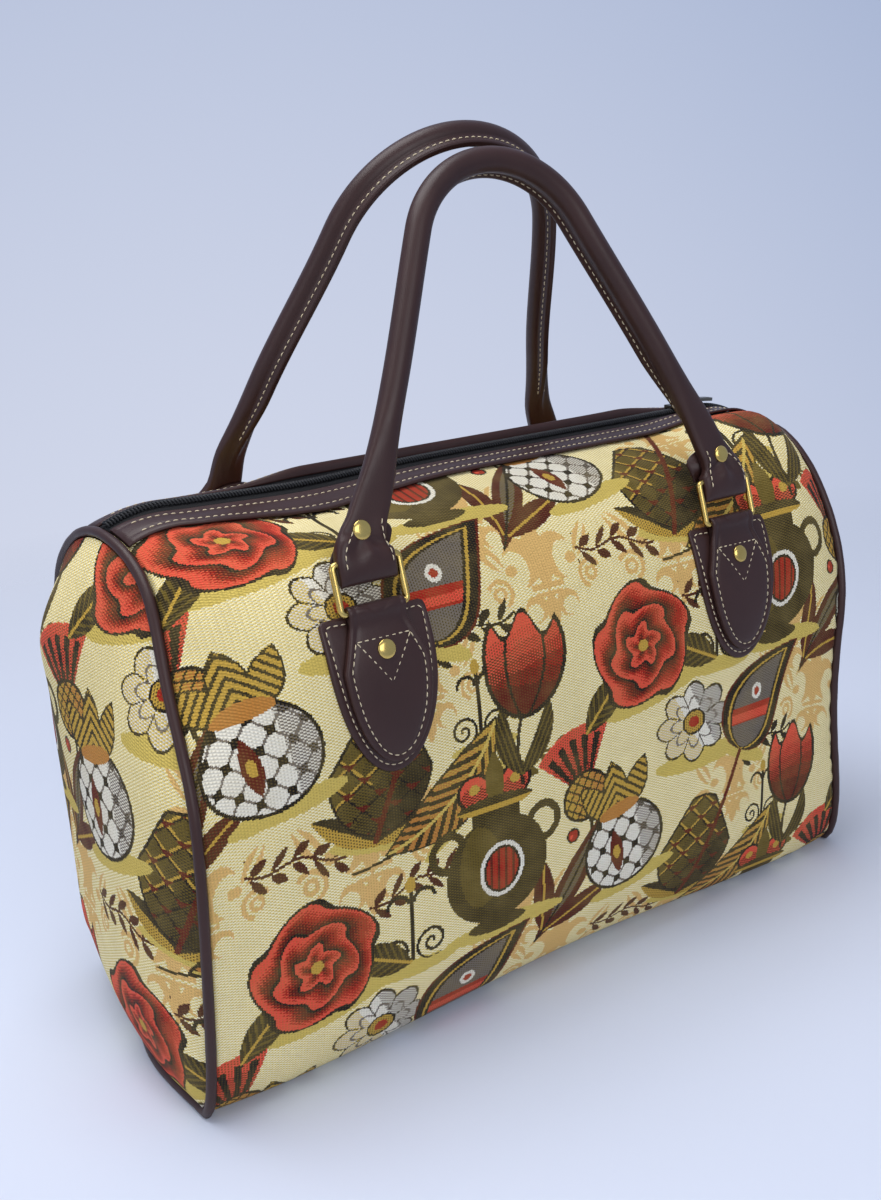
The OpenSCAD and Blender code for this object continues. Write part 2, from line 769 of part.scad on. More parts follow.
module handle_rivets() {
    tail_radius = handle_rivet_width * 0.4;
    for (side = [-1, 1])
        translate([side * tab_place, end_thickness / 2, handle_rivet_height])
            rotate([90, 0, 0])
                union() {
                    rivet(handle_rivet_width, end_thickness);
                    translate([0, 0, -rivet_rise / 2])
                        cylinder(r = tail_radius, h = rivet_rise / 2);
                }
}

module at_front_handle() {
    at_front_ring(front_angle) translate([0, 0, ring_height]) children();
}

module at_back_handle() {
    rotate([0, 0, 180]) at_front_ring(back_angle) translate([0, 0, ring_height]) children();
}

module front_handle() {
    color([0.29, 0.20, 0.21]) at_front_handle() handle(front_rise, front_bend);
}

module back_handle() {
    color([0.29, 0.20, 0.21]) at_back_handle() handle(back_rise, back_bend);
}

module front_handle_rivets() {
    color([0.66, 0.52, 0.28]) at_front_handle() handle_rivets();
}

module back_handle_rivets() {
    color([0.66, 0.52, 0.28]) at_back_handle() handle_rivets();
}

body_cloth();
left_end_panel();
right_end_panel();
left_piping();
right_piping();
body_lining();
left_end_lining();
right_end_lining();
base_board();
front_zip_band();
back_zip_band();
front_zip_tape();
back_zip_tape();
front_zip_coil();
back_zip_coil();
zip_slider();
zip_pull();
front_left_patch();
front_right_patch();
back_left_patch();
back_right_patch();
front_left_tab();
front_right_tab();
back_left_tab();
back_right_tab();
front_tab_rivets();
back_tab_rivets();
front_left_ring();
front_right_ring();
back_left_ring();
back_right_ring();
front_handle();
back_handle();
front_handle_rivets();
back_handle_rivets();
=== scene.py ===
"""Looks of the carpet bag: cloth, trim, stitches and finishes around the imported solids, in metres."""
import math

import bmesh
import bpy
import numpy as np
from mathutils import Matrix, Vector


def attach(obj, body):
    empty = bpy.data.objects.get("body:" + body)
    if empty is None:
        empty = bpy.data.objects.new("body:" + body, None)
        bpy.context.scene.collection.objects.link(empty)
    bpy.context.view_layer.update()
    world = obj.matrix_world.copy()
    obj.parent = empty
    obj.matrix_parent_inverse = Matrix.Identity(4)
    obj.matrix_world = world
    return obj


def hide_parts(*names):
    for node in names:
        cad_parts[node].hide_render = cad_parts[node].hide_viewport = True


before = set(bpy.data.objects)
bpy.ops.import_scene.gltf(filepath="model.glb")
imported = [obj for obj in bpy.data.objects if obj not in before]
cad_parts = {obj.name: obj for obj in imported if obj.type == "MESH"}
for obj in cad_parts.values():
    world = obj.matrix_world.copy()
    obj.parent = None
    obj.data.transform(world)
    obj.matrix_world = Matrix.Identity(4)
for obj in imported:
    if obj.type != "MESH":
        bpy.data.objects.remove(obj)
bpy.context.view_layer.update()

MM = 0.001

# Sizes of the bag, as the solids have them
HALF_LENGTH = 230 * MM
HALF_DEPTH = 102 * MM
BAG_HEIGHT = 291 * MM
WIDEST_HEIGHT = 165 * MM
FLOOR_HALF = 76 * MM
END_SETBACK = 22 * MM
DROP_HEIGHT = 8 * MM
END_NARROWING = 4 * MM
SWELL_DEPTH = 19 * MM
CLOTH_THICKNESS = 2.4 * MM
LINING_THICKNESS = 0.8 * MM
PIPING_RADIUS = 2.7 * MM
SEAM_GAP = 0.3 * MM
LAYER_GAP = 0.3 * MM
STRAIGHT_SHARE = 0.76
LEVEL_SHARE = 0.87
DOME_POWER = 2.4
END_DOME_POWER = 1.85
SIDE_POWER = 2.8
LEAN_POWER = 2.2
SWELL_POWER = 3.2

# Zip
SLOT_HALF = 6.5 * MM
BAND_WIDTH = 19 * MM
BAND_THICKNESS = 1.6 * MM
TAPE_THICKNESS = 0.8 * MM
TAPE_WIDTH = 23 * MM
TAPE_TOP = LAYER_GAP + TAPE_THICKNESS
BAND_BOTTOM = TAPE_TOP + LAYER_GAP
COIL_HALF = 4 * MM
COIL_BOTTOM = TAPE_TOP + LAYER_GAP / 2
COIL_HEIGHT = 3.2 * MM
TOOTH_PITCH = 1.7 * MM
TOOTH_RADIUS = 0.74 * MM

# Tabs, rings and handles. The handles bend closer to their rings than the solids do, and taper over a longer
# stretch, as in the photo.
TAB_PLACE = 120 * MM
PATCH_WIDTH = 60 * MM
PATCH_LENGTH = 79 * MM
PATCH_TIP_LENGTH = 62 * MM
PATCH_THICKNESS = 1.6 * MM
TAB_WIDTH = 48 * MM
TAB_TIP_LENGTH = 50 * MM
TAB_THICKNESS = 3.4 * MM
FOLD_WIDTH = 32 * MM
FOLD_HEIGHT = BAG_HEIGHT - 48 * MM
WIRE_RADIUS = 1.8 * MM
TURNING_GAP = 0.05 * MM
RING_HEIGHT = 24 * MM
HANDLE_RADIUS = 6.75 * MM
SHOULDER_BEND = 22 * MM
START_LENGTH = 3 * MM
END_WIDTH = 32 * MM
NECK_WIDTH = 21.5 * MM
NECK_LENGTH = 88 * MM
END_FLARE_LENGTH = 18 * MM
END_THICKNESS = 7 * MM
END_LENGTH = 24 * MM
END_TAPER = 56 * MM
HANDLE_RIVET_HEIGHT = 14 * MM
BAR_RADIUS = END_THICKNESS / 2 + TAB_THICKNESS / 2
WELT_HALF = 2.1 * MM
FLAP_WIDTH = 31 * MM
FLAP_HEIGHT = 19 * MM
FLAP_TIP_LENGTH = 10 * MM
FLAP_THICKNESS = 2.2 * MM
FLAP_SHIFT = 6 * MM
# Of each handle: rise, top bend, lean, how far the welt turns to the inside of the arch, sway of the legs and
# sag of the ends
HANDLES = {
    "front": (188 * MM, 57 * MM, math.radians(15.5), math.radians(28), 2.5 * MM, 6.2 * MM),
    "back": (219 * MM, 73 * MM, math.radians(26), math.radians(4), 6 * MM, 1.5 * MM),
}
SWAY_START = 8 * MM
SWAY_REACH = 34 * MM
SWAY_END = 170 * MM
SWAY_FADE = 90 * MM

# Stitches
STITCH_LENGTH = 2.9 * MM
STITCH_GAP = 1.1 * MM
STITCH_RADIUS = 0.32 * MM
STITCH_INSET = 3.8 * MM

# Woven pattern, in millimetres of cloth
THREAD = 0.8
REPEAT_ACROSS = 217.0
REPEAT_UP = 234.0
DROP = REPEAT_UP / 2


# Numbers in material nodes

def linear(colour):
    """An sRGB colour of three values up to 255 as linear red, green, blue and alpha."""
    shares = [value / 255 for value in colour]
    return (*[s / 12.92 if s <= 0.04045 else ((s + 0.055) / 1.055) ** 2.4 for s in shares], 1.0)


class Num:
    """A number in a material's nodes. Arithmetic on it adds Math nodes."""

    def __init__(self, tree, socket):
        self.tree = tree
        self.socket = socket

    def op(self, kind, *others):
        node = self.tree.nodes.new("ShaderNodeMath")
        node.operation = kind
        for slot, value in zip(node.inputs, (self, *others)):
            if isinstance(value, Num):
                self.tree.links.new(value.socket, slot)
            else:
                slot.default_value = value
        return Num(self.tree, node.outputs[0])

    def __add__(self, other):
        return self.op("ADD", other)

    def __sub__(self, other):
        return self.op("SUBTRACT", other)

    def __rsub__(self, other):
        return self.op("MULTIPLY_ADD", -1.0, other)

    def __mul__(self, other):
        return self.op("MULTIPLY", other)

    def times_plus(self, factor, added):
        return self.op("MULTIPLY_ADD", factor, added)

    def low(self, other):
        return self.op("MINIMUM", other)

    def high(self, other):
        return self.op("MAXIMUM", other)

    def size(self):
        return self.op("ABSOLUTE")

    def wrap(self, low, high):
        return self.op("WRAP", high, low)

    def cosine(self):
        return self.op("COSINE")

    def root(self):
        return self.op("SQRT")


def shader_material(name, roughness, metallic=0.0, specular=0.5, sheen=0.0):
    """A new material with a Principled shader. Returns the material, its tree and the shader."""
    made = bpy.data.materials.new(name)
    made.use_nodes = True
    shader = made.node_tree.nodes["Principled BSDF"]
    shader.inputs["Roughness"].default_value = roughness
    shader.inputs["Metallic"].default_value = metallic
    shader.inputs["Specular IOR Level"].default_value = specular
    shader.inputs["Sheen Weight"].default_value = sheen
    return made, made.node_tree, shader


def coordinates(tree, kind, output, attribute=None):
    """The three numbers of a vector that a new node of a kind puts out."""
    place = tree.nodes.new(kind)
    if attribute:
        place.attribute_name = attribute
    apart = tree.nodes.new("ShaderNodeSeparateXYZ")
    tree.links.new(place.outputs[output], apart.inputs["Vector"])
    return [Num(tree, apart.outputs[axis]) for axis in "XYZ"]


def noise(tree, scale, detail=3.0, stretch=(1, 1, 1)):
    """Noise in the part's own coordinates, from 0 to 1; scale is in cells a metre."""
    place = tree.nodes.new("ShaderNodeTexCoord")
    spread = tree.nodes.new("ShaderNodeMapping")
    spread.inputs["Scale"].default_value = stretch
    field = tree.nodes.new("ShaderNodeTexNoise")
    field.inputs["Scale"].default_value = scale
    field.inputs["Detail"].default_value = detail
    tree.links.new(place.outputs["Object"], spread.inputs["Vector"])
    tree.links.new(spread.outputs["Vector"], field.inputs["Vector"])
    return Num(tree, field.outputs["Fac"])


def blended(tree, share, first, second):
    """Colour socket between two colours by a share from 0 to 1."""
    mix = tree.nodes.new("ShaderNodeMix")
    mix.data_type = "RGBA"
    tree.links.new(share.socket, mix.inputs["Factor"])
    for slot, colour in (("A", first), ("B", second)):
        socket = [s for s in mix.inputs if s.name == slot and s.type == "RGBA"][0]
        if isinstance(colour, bpy.types.NodeSocket):
            tree.links.new(colour, socket)
        else:
            socket.default_value = linear(colour)
    return [s for s in mix.outputs if s.type == "RGBA"][0]


def toned(tree, shader, share, first, second):
    """Gives a shader two tones, mixed by a share from 0 to 1."""
    tree.links.new(blended(tree, share, first, second), shader.inputs["Base Color"])


def bumped(tree, shader, height, strength, distance):
    bump = tree.nodes.new("ShaderNodeBump")
    bump.inputs["Strength"].default_value = strength
    bump.inputs["Distance"].default_value = distance
    tree.links.new(height.socket, bump.inputs["Height"])
    tree.links.new(bump.outputs["Normal"], shader.inputs["Normal"])


def spread_roughness(tree, shader, field, low, high):
    span = field.times_plus(high - low, low)
    tree.links.new(span.socket, shader.inputs["Roughness"])


# Colours of the weave
CREAM = (246, 228, 154)
PALE = (254, 246, 206)
STRAW = (216, 188, 96)
GOLD = (198, 160, 66)
SHADE_GOLD = (214, 190, 98)
TAN = (228, 186, 116)
OLIVE = (50, 43, 26)
MOSS = (104, 88, 36)
BLACK = (22, 19, 20)
GREY = (118, 110, 102)
WHITE = (238, 234, 220)
CRIMSON = (96, 24, 19)
RED = (170, 38, 28)
CORAL = (230, 84, 64)
CHESTNUT = (78, 34, 25)
AMBER = (190, 128, 60)
# Painted shade on the threads along the twill
TWILL_SHADE = (128, 106, 50)
SLUB = (190, 168, 104)


class Weave:
    """Paints simple shapes on a cloth whose threads step the edges of every shape."""

    def __init__(self, tree, across, up):
        self.tree = tree
        column = (across * (1 / THREAD)).op("FLOOR")
        row = (up * (1 / THREAD)).op("FLOOR")
        self.across = column * THREAD
        self.up = row * THREAD
        self.twill = row.times_plus(2.0, column).wrap(0.0, 4.0) * 0.25
        self.colour = CREAM
        self.everywhere = self.across * 0.0 - 1.0

    def paint(self, outside, colour):
        """Paints where a value is below zero."""
        self.colour = blended(self.tree, outside.op("LESS_THAN", 0.0), self.colour, colour)

    def shade(self, outside, amount, colour):
        """Paints threads of a colour inside a shape, the more the larger amount is, from 0 to 1."""
        self.paint(outside.high(self.twill - amount), colour)

    def at(self, across, up, turn=0.0, size=1.0):
        """Coordinates about a place in the half-drop repeat, turned by some degrees."""
        moved = self.across - across
        column = (moved * (1 / REPEAT_ACROSS)).op("ROUND")
        p = column.times_plus(-REPEAT_ACROSS, moved)
        q = column.times_plus(-DROP, self.up - up).wrap(-DROP, DROP)
        return turned(p * (1 / size), q * (1 / size), turn)


def turned(p, q, degrees):
    if not degrees:
        return p, q
    c = math.cos(math.radians(degrees))
    s = math.sin(math.radians(degrees))
    return p.times_plus(c, q * s), q.times_plus(c, p * -s)


def ellipse(p, q, across, up, half_width, half_height):
    a = p.times_plus(1 / half_width, -across / half_width)
    b = q.times_plus(1 / half_height, -up / half_height)
    return a.times_plus(a, b * b) - 1.0


def leaf(p, q, half_length, half_width):
    """A pointed leaf along p."""
    share = p * (1 / half_length)
    return (share * share).times_plus(half_width, q.size() - half_width)


def distance(p, q):
    return p.times_plus(p, q * q).root()


def polar(p, q):
    return distance(p, q), q.op("ARCTAN2", p)


def box(p, q, half_width, half_height):
    return (p.size() - half_width).high(q.size() - half_height)


def ring(p, q, across, up, radius, half_width):
    return (distance(p - across, q - up) - radius).size() - half_width


def ornament(w, across, up, size):
    """A lily ornament in tan with curls and buds beside it."""
    p, q = w.at(across, up, size=size)
    side = p.size()
    petal = leaf(q - 7.0, p, 19.0, 6.0)
    wing = ellipse(side, q, 10.0, 4.0, 8.6, 11.5).high(ellipse(side, q, 14.0, 1.0, 6.8, 9.0) * -1.0)
    tip = ellipse(side, q, 16.4, 1.0, 3.0, 2.6)
    belt = box(p, q + 9.0, 9.0, 1.2).low(box(p, q + 12.4, 7.0, 0.8))
    foot = leaf(q + 20.0, p, 9.5, 3.4)
    hook = ellipse(side, q, 8.5, -18.0, 6.0, 6.0).high(ellipse(side, q, 9.8, -19.6, 4.2, 4.2) * -1.0)
    curl = ring(side, q, 25.0, -8.0, 6.0, 1.0).high(side - q * 0.8 - 34.0)
    curl = curl.low(ring(side, q, 25.0, -8.0, 2.6, 0.9))
    a, b = turned(side - 25.0, q - 9.0, 55.0)
    bud = leaf(a, b, 10.0, 3.6).high(1.0 - b.size())
    whole = petal.low(wing).low(tip).low(belt).low(foot).low(hook).low(curl).low(bud)
    w.shade(whole, 0.8, TAN)


def rose(w, across, up):
    p, q = w.at(across, up, 12.0)
    w.paint(ellipse(p, q, 4.0, -30.0, 40.0, 8.0), SHADE_GOLD)
    a, b = turned(p.size() - 34.0, q + 19.0, -38.0)
    blade = leaf(a, b, 21.0, 10.0)
    w.paint(blade, OLIVE)
    w.paint(blade.high((a + b.size()).wrap(0.0, 5.0) - 1.8), MOSS)
    w.paint(blade.high(b.size() - 0.9), GOLD)
    r, angle = polar(p, q)
    petal = (r * 0.24 + angle * 5.0).cosine().times_plus(2.4, r)
    w.paint(petal - 35.5, BLACK)
    w.paint(petal - 33.5, CRIMSON)
    depth = petal.wrap(0.0, 11.2)
    inside = petal - 33.5
    w.paint(inside.high(w.twill * -4.0 - depth + 6.0), RED)
    w.paint(inside.high(w.twill * -4.0 - depth + p * 0.05 + 9.2), CORAL)
    w.paint(inside.high(depth - 1.5), BLACK)
    w.paint(r - 3.6, GOLD)


def urn(w, across, up):
    p, q = w.at(across, up)
    side = p.size()
    w.paint(ellipse(p, q, 6.0, -43.0, 40.0, 6.0), SHADE_GOLD)
    bloom = ellipse(side, q, 13.0, 43.0, 11.0, 10.0)
    w.paint(bloom, BLACK)
    w.paint(ellipse(side, q, 13.0, 43.0, 9.0, 8.2), CORAL)
    w.shade(ellipse(side, q, 13.0, 40.0, 8.5, 6.0), 0.5, CRIMSON)
    w.paint(ellipse(side, q, 13.0, 44.0, 3.2, 3.0), GOLD)
    w.paint(leaf(q - 46.0, p, 17.0, 6.0), MOSS)
    body = ellipse(p, q, 0.0, -6.0, 33.0, 32.0).low(box(p, q - 24.0, 15.0, 9.0))
    body = body.low(ellipse(p, q, 0.0, 33.0, 24.0, 4.6)).low(ellipse(p, q, 0.0, -40.0, 19.0, 5.0))
    body = body.low(ring(side, q, 31.0, 13.0, 10.0, 2.3))
    w.paint(body, OLIVE)
    w.shade(body, 0.2, MOSS)
    w.shade(ellipse(p, q, -11.0, -2.0, 13.0, 24.0), 0.6, MOSS)
    w.paint(body.high((q - 31.0).size() - 1.6), GOLD)
    w.paint(ellipse(p, q, 3.0, -7.0, 14.5, 16.5), WHITE)
    w.paint(ellipse(p, q, 3.0, -7.0, 12.0, 14.0), BLACK)
    w.paint(ellipse(p, q, 3.0, -7.0, 10.5, 12.5), RED)
    w.paint(ellipse(p, q, 3.0, -7.0, 10.5, 12.5).high(p.wrap(0.0, 5.0) - 1.5), CRIMSON)


def paisley(w, across, up, turn):
    p, q = w.at(across, up, turn)
    w.paint(ellipse(p, q, 2.0, -26.0, 26.0, 6.0), SHADE_GOLD)
    share = q.times_plus(1 / 76.0, 26.0 / 76.0)
    bent = q.high(0.0)
    side = (bent * bent).times_plus(-0.010, p)
    half = share.root() * (1.0 - share)
    edge = half.times_plus(-70.0, side.size())
    w.paint(edge - 1.6, CRIMSON)
    w.paint(edge, BLACK)
    w.paint((edge + 5.0).high((edge + 5.0) * -1.0 - 2.0), GOLD)
    inner = edge + 9.0
    w.shade(inner, 0.55, GREY)
    w.paint(inner.high((q - p * 0.45 + 2.0).size() - 6.0), RED)
    w.shade(inner.high((q - p * 0.45 + 3.5).size() - 3.0), 0.75, CORAL)
    w.paint(ellipse(p, q, 0.0, 12.0, 5.0, 5.0), WHITE)
    w.paint(ellipse(p, q, 0.0, 12.0, 2.6, 2.6), RED)


def pomegranate(w, across, up, turn):
    p, q = w.at(across, up, turn)
    side = p.size()
    w.paint(ellipse(p, q, 4.0, -31.0, 32.0, 6.0), SHADE_GOLD)
    a, b = turned(side - 15.0, q - 31.0, 58.0)
    crown = leaf(q - 34.0, p, 17.0, 8.0).low(leaf(a, b, 16.0, 7.0))
    w.paint(crown - 1.2, OLIVE)
    w.paint(crown, GOLD)
    w.paint(crown.high((side + q).wrap(0.0, 6.0) - 2.4), OLIVE)
    fruit = ellipse(p, q, 0.0, -4.0, 30.0, 28.0)
    w.paint(fruit, BLACK)
    flesh = ellipse(p, q, 0.0, -4.0, 28.0, 26.0)
    w.paint(flesh, WHITE)
    first = (p + q).wrap(-8.0, 8.0).size()
    second = (p - q).wrap(-8.0, 8.0).size()
    w.paint(flesh.high(first.low(second) - 0.9), GREY)
    w.paint(flesh.high((first + second) - 4.6), BLACK)
    w.shade(flesh.high(p * -1.0 + 12.0), 0.3, GREY)
    w.paint(ellipse(p, q, 0.0, 20.0, 15.0, 4.6), AMBER)
    w.paint(leaf(q + 6.0, p + 6.0, 15.0, 5.0), CRIMSON)
    w.paint(ellipse(p, q, -6.0, -6.0, 2.6, 4.5), GOLD)


def tulip(w, across, up, turn):
    p, q = w.at(across, up, turn)
    side = p.size()
    stem = (p - (q * 0.07).cosine() * 4.0).size() - 1.1
    w.paint(stem.high((q + 48.0).size() - 22.0), BLACK)
    a, b = turned(side - 12.0, q + 47.0, 66.0)
    blade = leaf(a, (a * a).times_plus(-0.012, b), 25.0, 6.0)
    w.paint(blade, OLIVE)
    w.paint(blade.high(b.wrap(0.0, 3.0) - 1.1), MOSS)
    tips = (p * 0.25).cosine()
    cup = ellipse(p, q, 0.0, 0.0, 27.0, 33.0).high(tips.times_plus(-7.0, q - 19.0))
    w.paint(cup, BLACK)
    bowl = ellipse(p, q, 0.0, 0.0, 24.5, 30.5).high(tips.times_plus(-7.0, q - 16.5))
    w.paint(bowl, CRIMSON)
    w.shade(bowl, q.times_plus(0.03, 0.45), RED)
    w.shade(bowl, q.times_plus(0.035, p * -0.012 + 0.2), CORAL)
    line = (q * q).times_plus(0.010, side - 12.5).size()
    w.paint(bowl.high(line - 0.9), BLACK)


def feather(w, across, up, turn):
    p, q = w.at(across, up, turn)
    w.paint(ellipse(p, q, 2.0, -14.0, 36.0, 5.0), SHADE_GOLD)
    bent = (p * p).times_plus(-0.006, q + 3.0)
    vane = leaf(p, bent, 44.0, 15.0)
    w.paint(vane - 1.4, OLIVE)
    w.paint(vane, AMBER)
    w.shade(vane, p.times_plus(0.012, 0.2), GOLD)
    barbs = (p + bent.size() * 1.3).wrap(0.0, 8.5)
    w.paint(vane.high(barbs - 4.2), OLIVE)
    w.paint(vane.high(bent.size() - 1.0), STRAW)
    w.paint(box(p + 52.0, bent + 2.0, 11.0, 0.9), OLIVE)


def spray(w, across, up, turn):
    """Three long leaves with berries."""
    p, q = w.at(across, up, turn)
    middle = leaf(p, q, 42.0, 9.0)
    a, b = turned(p + 12.0, q.size() - 15.0, 34.0)
    wings = leaf(a, b, 25.0, 7.5)
    w.paint(middle.low(wings), CHESTNUT)
    w.shade(middle.low(wings), 0.25, CRIMSON)
    w.paint(leaf(p - 3.0, q, 30.0, 4.2), GREY)
    w.shade(leaf(p - 3.0, q, 30.0, 4.2), 0.5, MOSS)
    w.paint(middle.high(q.size() - 0.8), BLACK)
    w.paint(wings.high(b.size() - 0.8), GOLD)
    w.paint(ellipse(p, q.size(), 26.0, 15.0, 4.6, 4.6), BLACK)
    w.paint(ellipse(p, q.size(), 26.0, 15.0, 3.4, 3.4), RED)
    w.paint(ellipse(p, q.size(), 24.8, 16.0, 1.3, 1.3), CORAL)


def scrolls(w, across, up, size):
    """Two black curls on a stem."""
    p, q = w.at(across, up, size=size)
    side = p.size()
    w.paint(ellipse(p, q, 3.0, -13.0, 25.0, 5.0), SHADE_GOLD)
    r, angle = polar(side - 12.5, q)
    curl = (angle.times_plus(-5.6 / math.tau, r).wrap(0.0, 5.6) - 1.9).high(r - 10.5)
    stem = box(p, q - 14.0, 1.3, 22.0)
    arms = ring(side, q, 8.0, 27.0, 6.5, 1.1).high(27.0 - q)
    w.paint(curl.low(stem).low(arms), BLACK)
    w.paint(ellipse(p, q, 0.0, 38.0, 3.4, 4.4), GOLD)


def peony(w, across, up):
    p, q = w.at(across, up)
    w.paint(ellipse(p, q, 4.0, -24.0, 34.0, 7.0), SHADE_GOLD)
    r, angle = polar(p, q * 1.15)
    lobes = (angle * 4.0).cosine().size()
    edge = lobes.times_plus(-7.0, r)
    w.paint(edge - 22.5, OLIVE)
    w.paint(edge - 20.8, WHITE)
    w.shade((edge - 20.8).high(q * 0.6 + p + 4.0), 0.5, STRAW)
    w.shade((edge - 20.8).high(8.0 - q * 0.5 - p), 0.4, GREY)
    w.paint((edge - 20.8).high((edge - 11.0).size() - 0.9), GREY)
    w.paint((edge - 20.8).high(lobes - 0.10), OLIVE)
    w.paint(r - 9.0, BLACK)
    w.shade(r - 7.6, 0.6, GOLD)
    w.paint(r - 4.0, RED)


def artichoke(w, across, up, turn):
    """A dark globe of pointed scales on two leaves."""
    p, q = w.at(across, up, turn)
    side = p.size()
    w.paint(ellipse(p, q, 6.0, -39.0, 34.0, 6.0), SHADE_GOLD)
    a, b = turned(side - 18.0, q + 32.0, 24.0)
    blade = leaf(a, b, 23.0, 7.0)
    w.paint(blade, OLIVE)
    w.shade(blade.high(b), 0.55, GOLD)
    globe = ellipse(p, q, 0.0, -2.0, 29.0, 33.0).high(q.times_plus(0.62, side - 27.0))
    w.paint(globe.low(ellipse(p, q, 0.0, -2.0, 30.5, 34.5).high(q.times_plus(0.62, side - 29.0))), BLACK)
    w.paint(globe, OLIVE)
    w.shade(globe, p.times_plus(-0.018, q.times_plus(0.010, 0.3)), MOSS)
    first = p.times_plus(0.8, q).wrap(0.0, 15.0)
    second = p.times_plus(-0.8, q).wrap(0.0, 15.0)
    w.paint(globe.high(first.low(second) - 1.5), BLACK)
    w.paint(globe.high(first.low(second) - 3.2).high(1.5 - first.low(second)).high(p * 0.5 - q - 6.0), GOLD)
    w.paint(globe.high(first + second - 7.0), CRIMSON)


def thistle(w, across, up, turn):
    """A brush of red threads in a checked cup."""
    p, q = w.at(across, up, turn)
    stem = (p - (q * 0.06).cosine() * 3.0).size() - 1.2
    w.paint(stem.high((q + 40.0).size() - 18.0), OLIVE)
    r, angle = polar(p, q + 14.0)
    spread = (angle - math.pi / 2).size()
    brush = (r - 44.0).high(spread - 0.62).high(8.0 - r)
    w.paint(brush, CRIMSON)
    w.shade(brush, r.times_plus(0.022, -0.2), CORAL)
    w.paint(brush.high((angle * 26.0).cosine() - 0.1).high(r - 38.0), BLACK)
    cup = ellipse(p, q, 0.0, -13.0, 17.0, 15.0)
    w.paint(cup, BLACK)
    heart = ellipse(p, q, 0.0, -13.0, 15.2, 13.2)
    w.paint(heart, GOLD)
    w.shade(heart, p.times_plus(0.03, 0.3), AMBER)
    check = (p + q).wrap(-3.6, 3.6).size().low((p - q).wrap(-3.6, 3.6).size())
    w.paint(heart.high(check - 0.8), OLIVE)


def sprig(w, across, up, turn, colour):
    """A small wavy stem with paired leaves."""
    p, q = w.at(across, up, turn)
    wave = (p * 0.16).cosine().times_plus(-2.5, q)
    reach = p.size() - 29.0
    stem = wave.size() - 0.8
    a, b = turned(p.wrap(-5.5, 5.5), wave.size() - 5.0, 42.0)
    leaves = leaf(a, b, 6.0, 2.3)
    w.paint(stem.low(leaves).high(reach), colour)


def pattern(w):
    """The whole repeat, from what lies behind to what lies in front."""
    w.shade(w.everywhere, 0.6, PALE)
    w.shade(w.everywhere, 0.1, STRAW)
    ornament(w, 78.0, 96.0, 1.35)
    ornament(w, 118.0, 172.0, 1.1)
    ornament(w, 203.0, 214.0, 1.2)
    ornament(w, 170.0, 22.0, 1.1)
    sprig(w, 104.0, 66.0, 8.0, CHESTNUT)
    sprig(w, 40.0, 100.0, -6.0, CHESTNUT)
    sprig(w, 190.0, 112.0, 4.0, MOSS)
    sprig(w, 150.0, 190.0, 10.0, BLACK)
    scrolls(w, 100.0, 28.0, 1.0)
    scrolls(w, 148.0, 140.0, 0.85)
    peony(w, 82.0, 218.0)
    thistle(w, 214.0, 92.0, 14.0)
    artichoke(w, 88.0, 136.0, -8.0)
    feather(w, 128.0, 108.0, 38.0)
    spray(w, 206.0, 28.0, 58.0)
    urn(w, 155.0, 62.0)
    tulip(w, 180.0, 170.0, -6.0)
    pomegranate(w, 28.0, 160.0, 10.0)
    paisley(w, 133.0, 213.0, -24.0)
    rose(w, 44.0, 40.0)


def tapestry():
    """Woven cloth: stepped motifs on a cream twill, with painted shade darkening threads along the twill."""
    made, tree, shader = shader_material("tapestry", 0.86, specular=0.16, sheen=0.04)
    x, y, _ = coordinates(tree, "ShaderNodeAttribute", "Vector", "cloth")
    across = x * (1 / MM)
    up = y * (1 / MM)
    w = Weave(tree, across, up)
    pattern(w)
    # One thread in four along the twill is darkened towards a dull olive by a random amount: painted shade
    # between the twill ribs.
    twill_shade_share = w.twill.op("GREATER_THAN", 0.6) * (noise(tree, 420.0, 2.0) * 0.6)
    twill_shaded = blended(tree, twill_shade_share, w.colour, TWILL_SHADE)
    slub = noise(tree, 60.0, 4.0).times_plus(0.4, -0.14).high(0.0)
    toned(tree, shader, slub, twill_shaded, SLUB)
    turn = math.tau / (4 * THREAD)
    ribs = (across * turn + up * (2 * turn)).cosine()
    picks = (up * (math.tau / (2 * THREAD))).cosine() * 0.5
    bumped(tree, shader, ribs + picks, 0.55, 0.25 * MM)
    return made


def leatherette():
    """Smooth dark brown coated cloth with a fine grain."""
    made, tree, shader = shader_material("leatherette", 0.4, specular=0.34)
    toned(tree, shader, noise(tree, 28.0, 4.0), (46, 26, 23), (63, 38, 34))
    place = tree.nodes.new("ShaderNodeTexCoord")
    cells = tree.nodes.new("ShaderNodeTexVoronoi")
    cells.inputs["Scale"].default_value = 1150.0
    tree.links.new(place.outputs["Object"], cells.inputs["Vector"])
    grain = Num(tree, cells.outputs["Distance"]) + noise(tree, 380.0, 3.0) * 1.2
    bumped(tree, shader, grain, 0.22, 0.12 * MM)
    spread_roughness(tree, shader, noise(tree, 140.0), 0.33, 0.5)
    return made


def thread():
    made, tree, shader = shader_material("cream_thread", 0.75, specular=0.3)
    toned(tree, shader, noise(tree, 900.0, 2.0), (190, 173, 140), (232, 219, 192))
    bumped(tree, shader, noise(tree, 2600.0, 1.0), 0.4, 0.1 * MM)
    return made


def metal(name, first, second, low, high):
    made, tree, shader = shader_material(name, low, metallic=1.0)
    toned(tree, shader, noise(tree, 120.0, 2.0), first, second)
    spread_roughness(tree, shader, noise(tree, 260.0, 2.0), low, high)
    bumped(tree, shader, noise(tree, 400.0, 1.0), 0.03, 0.05 * MM)
    return made


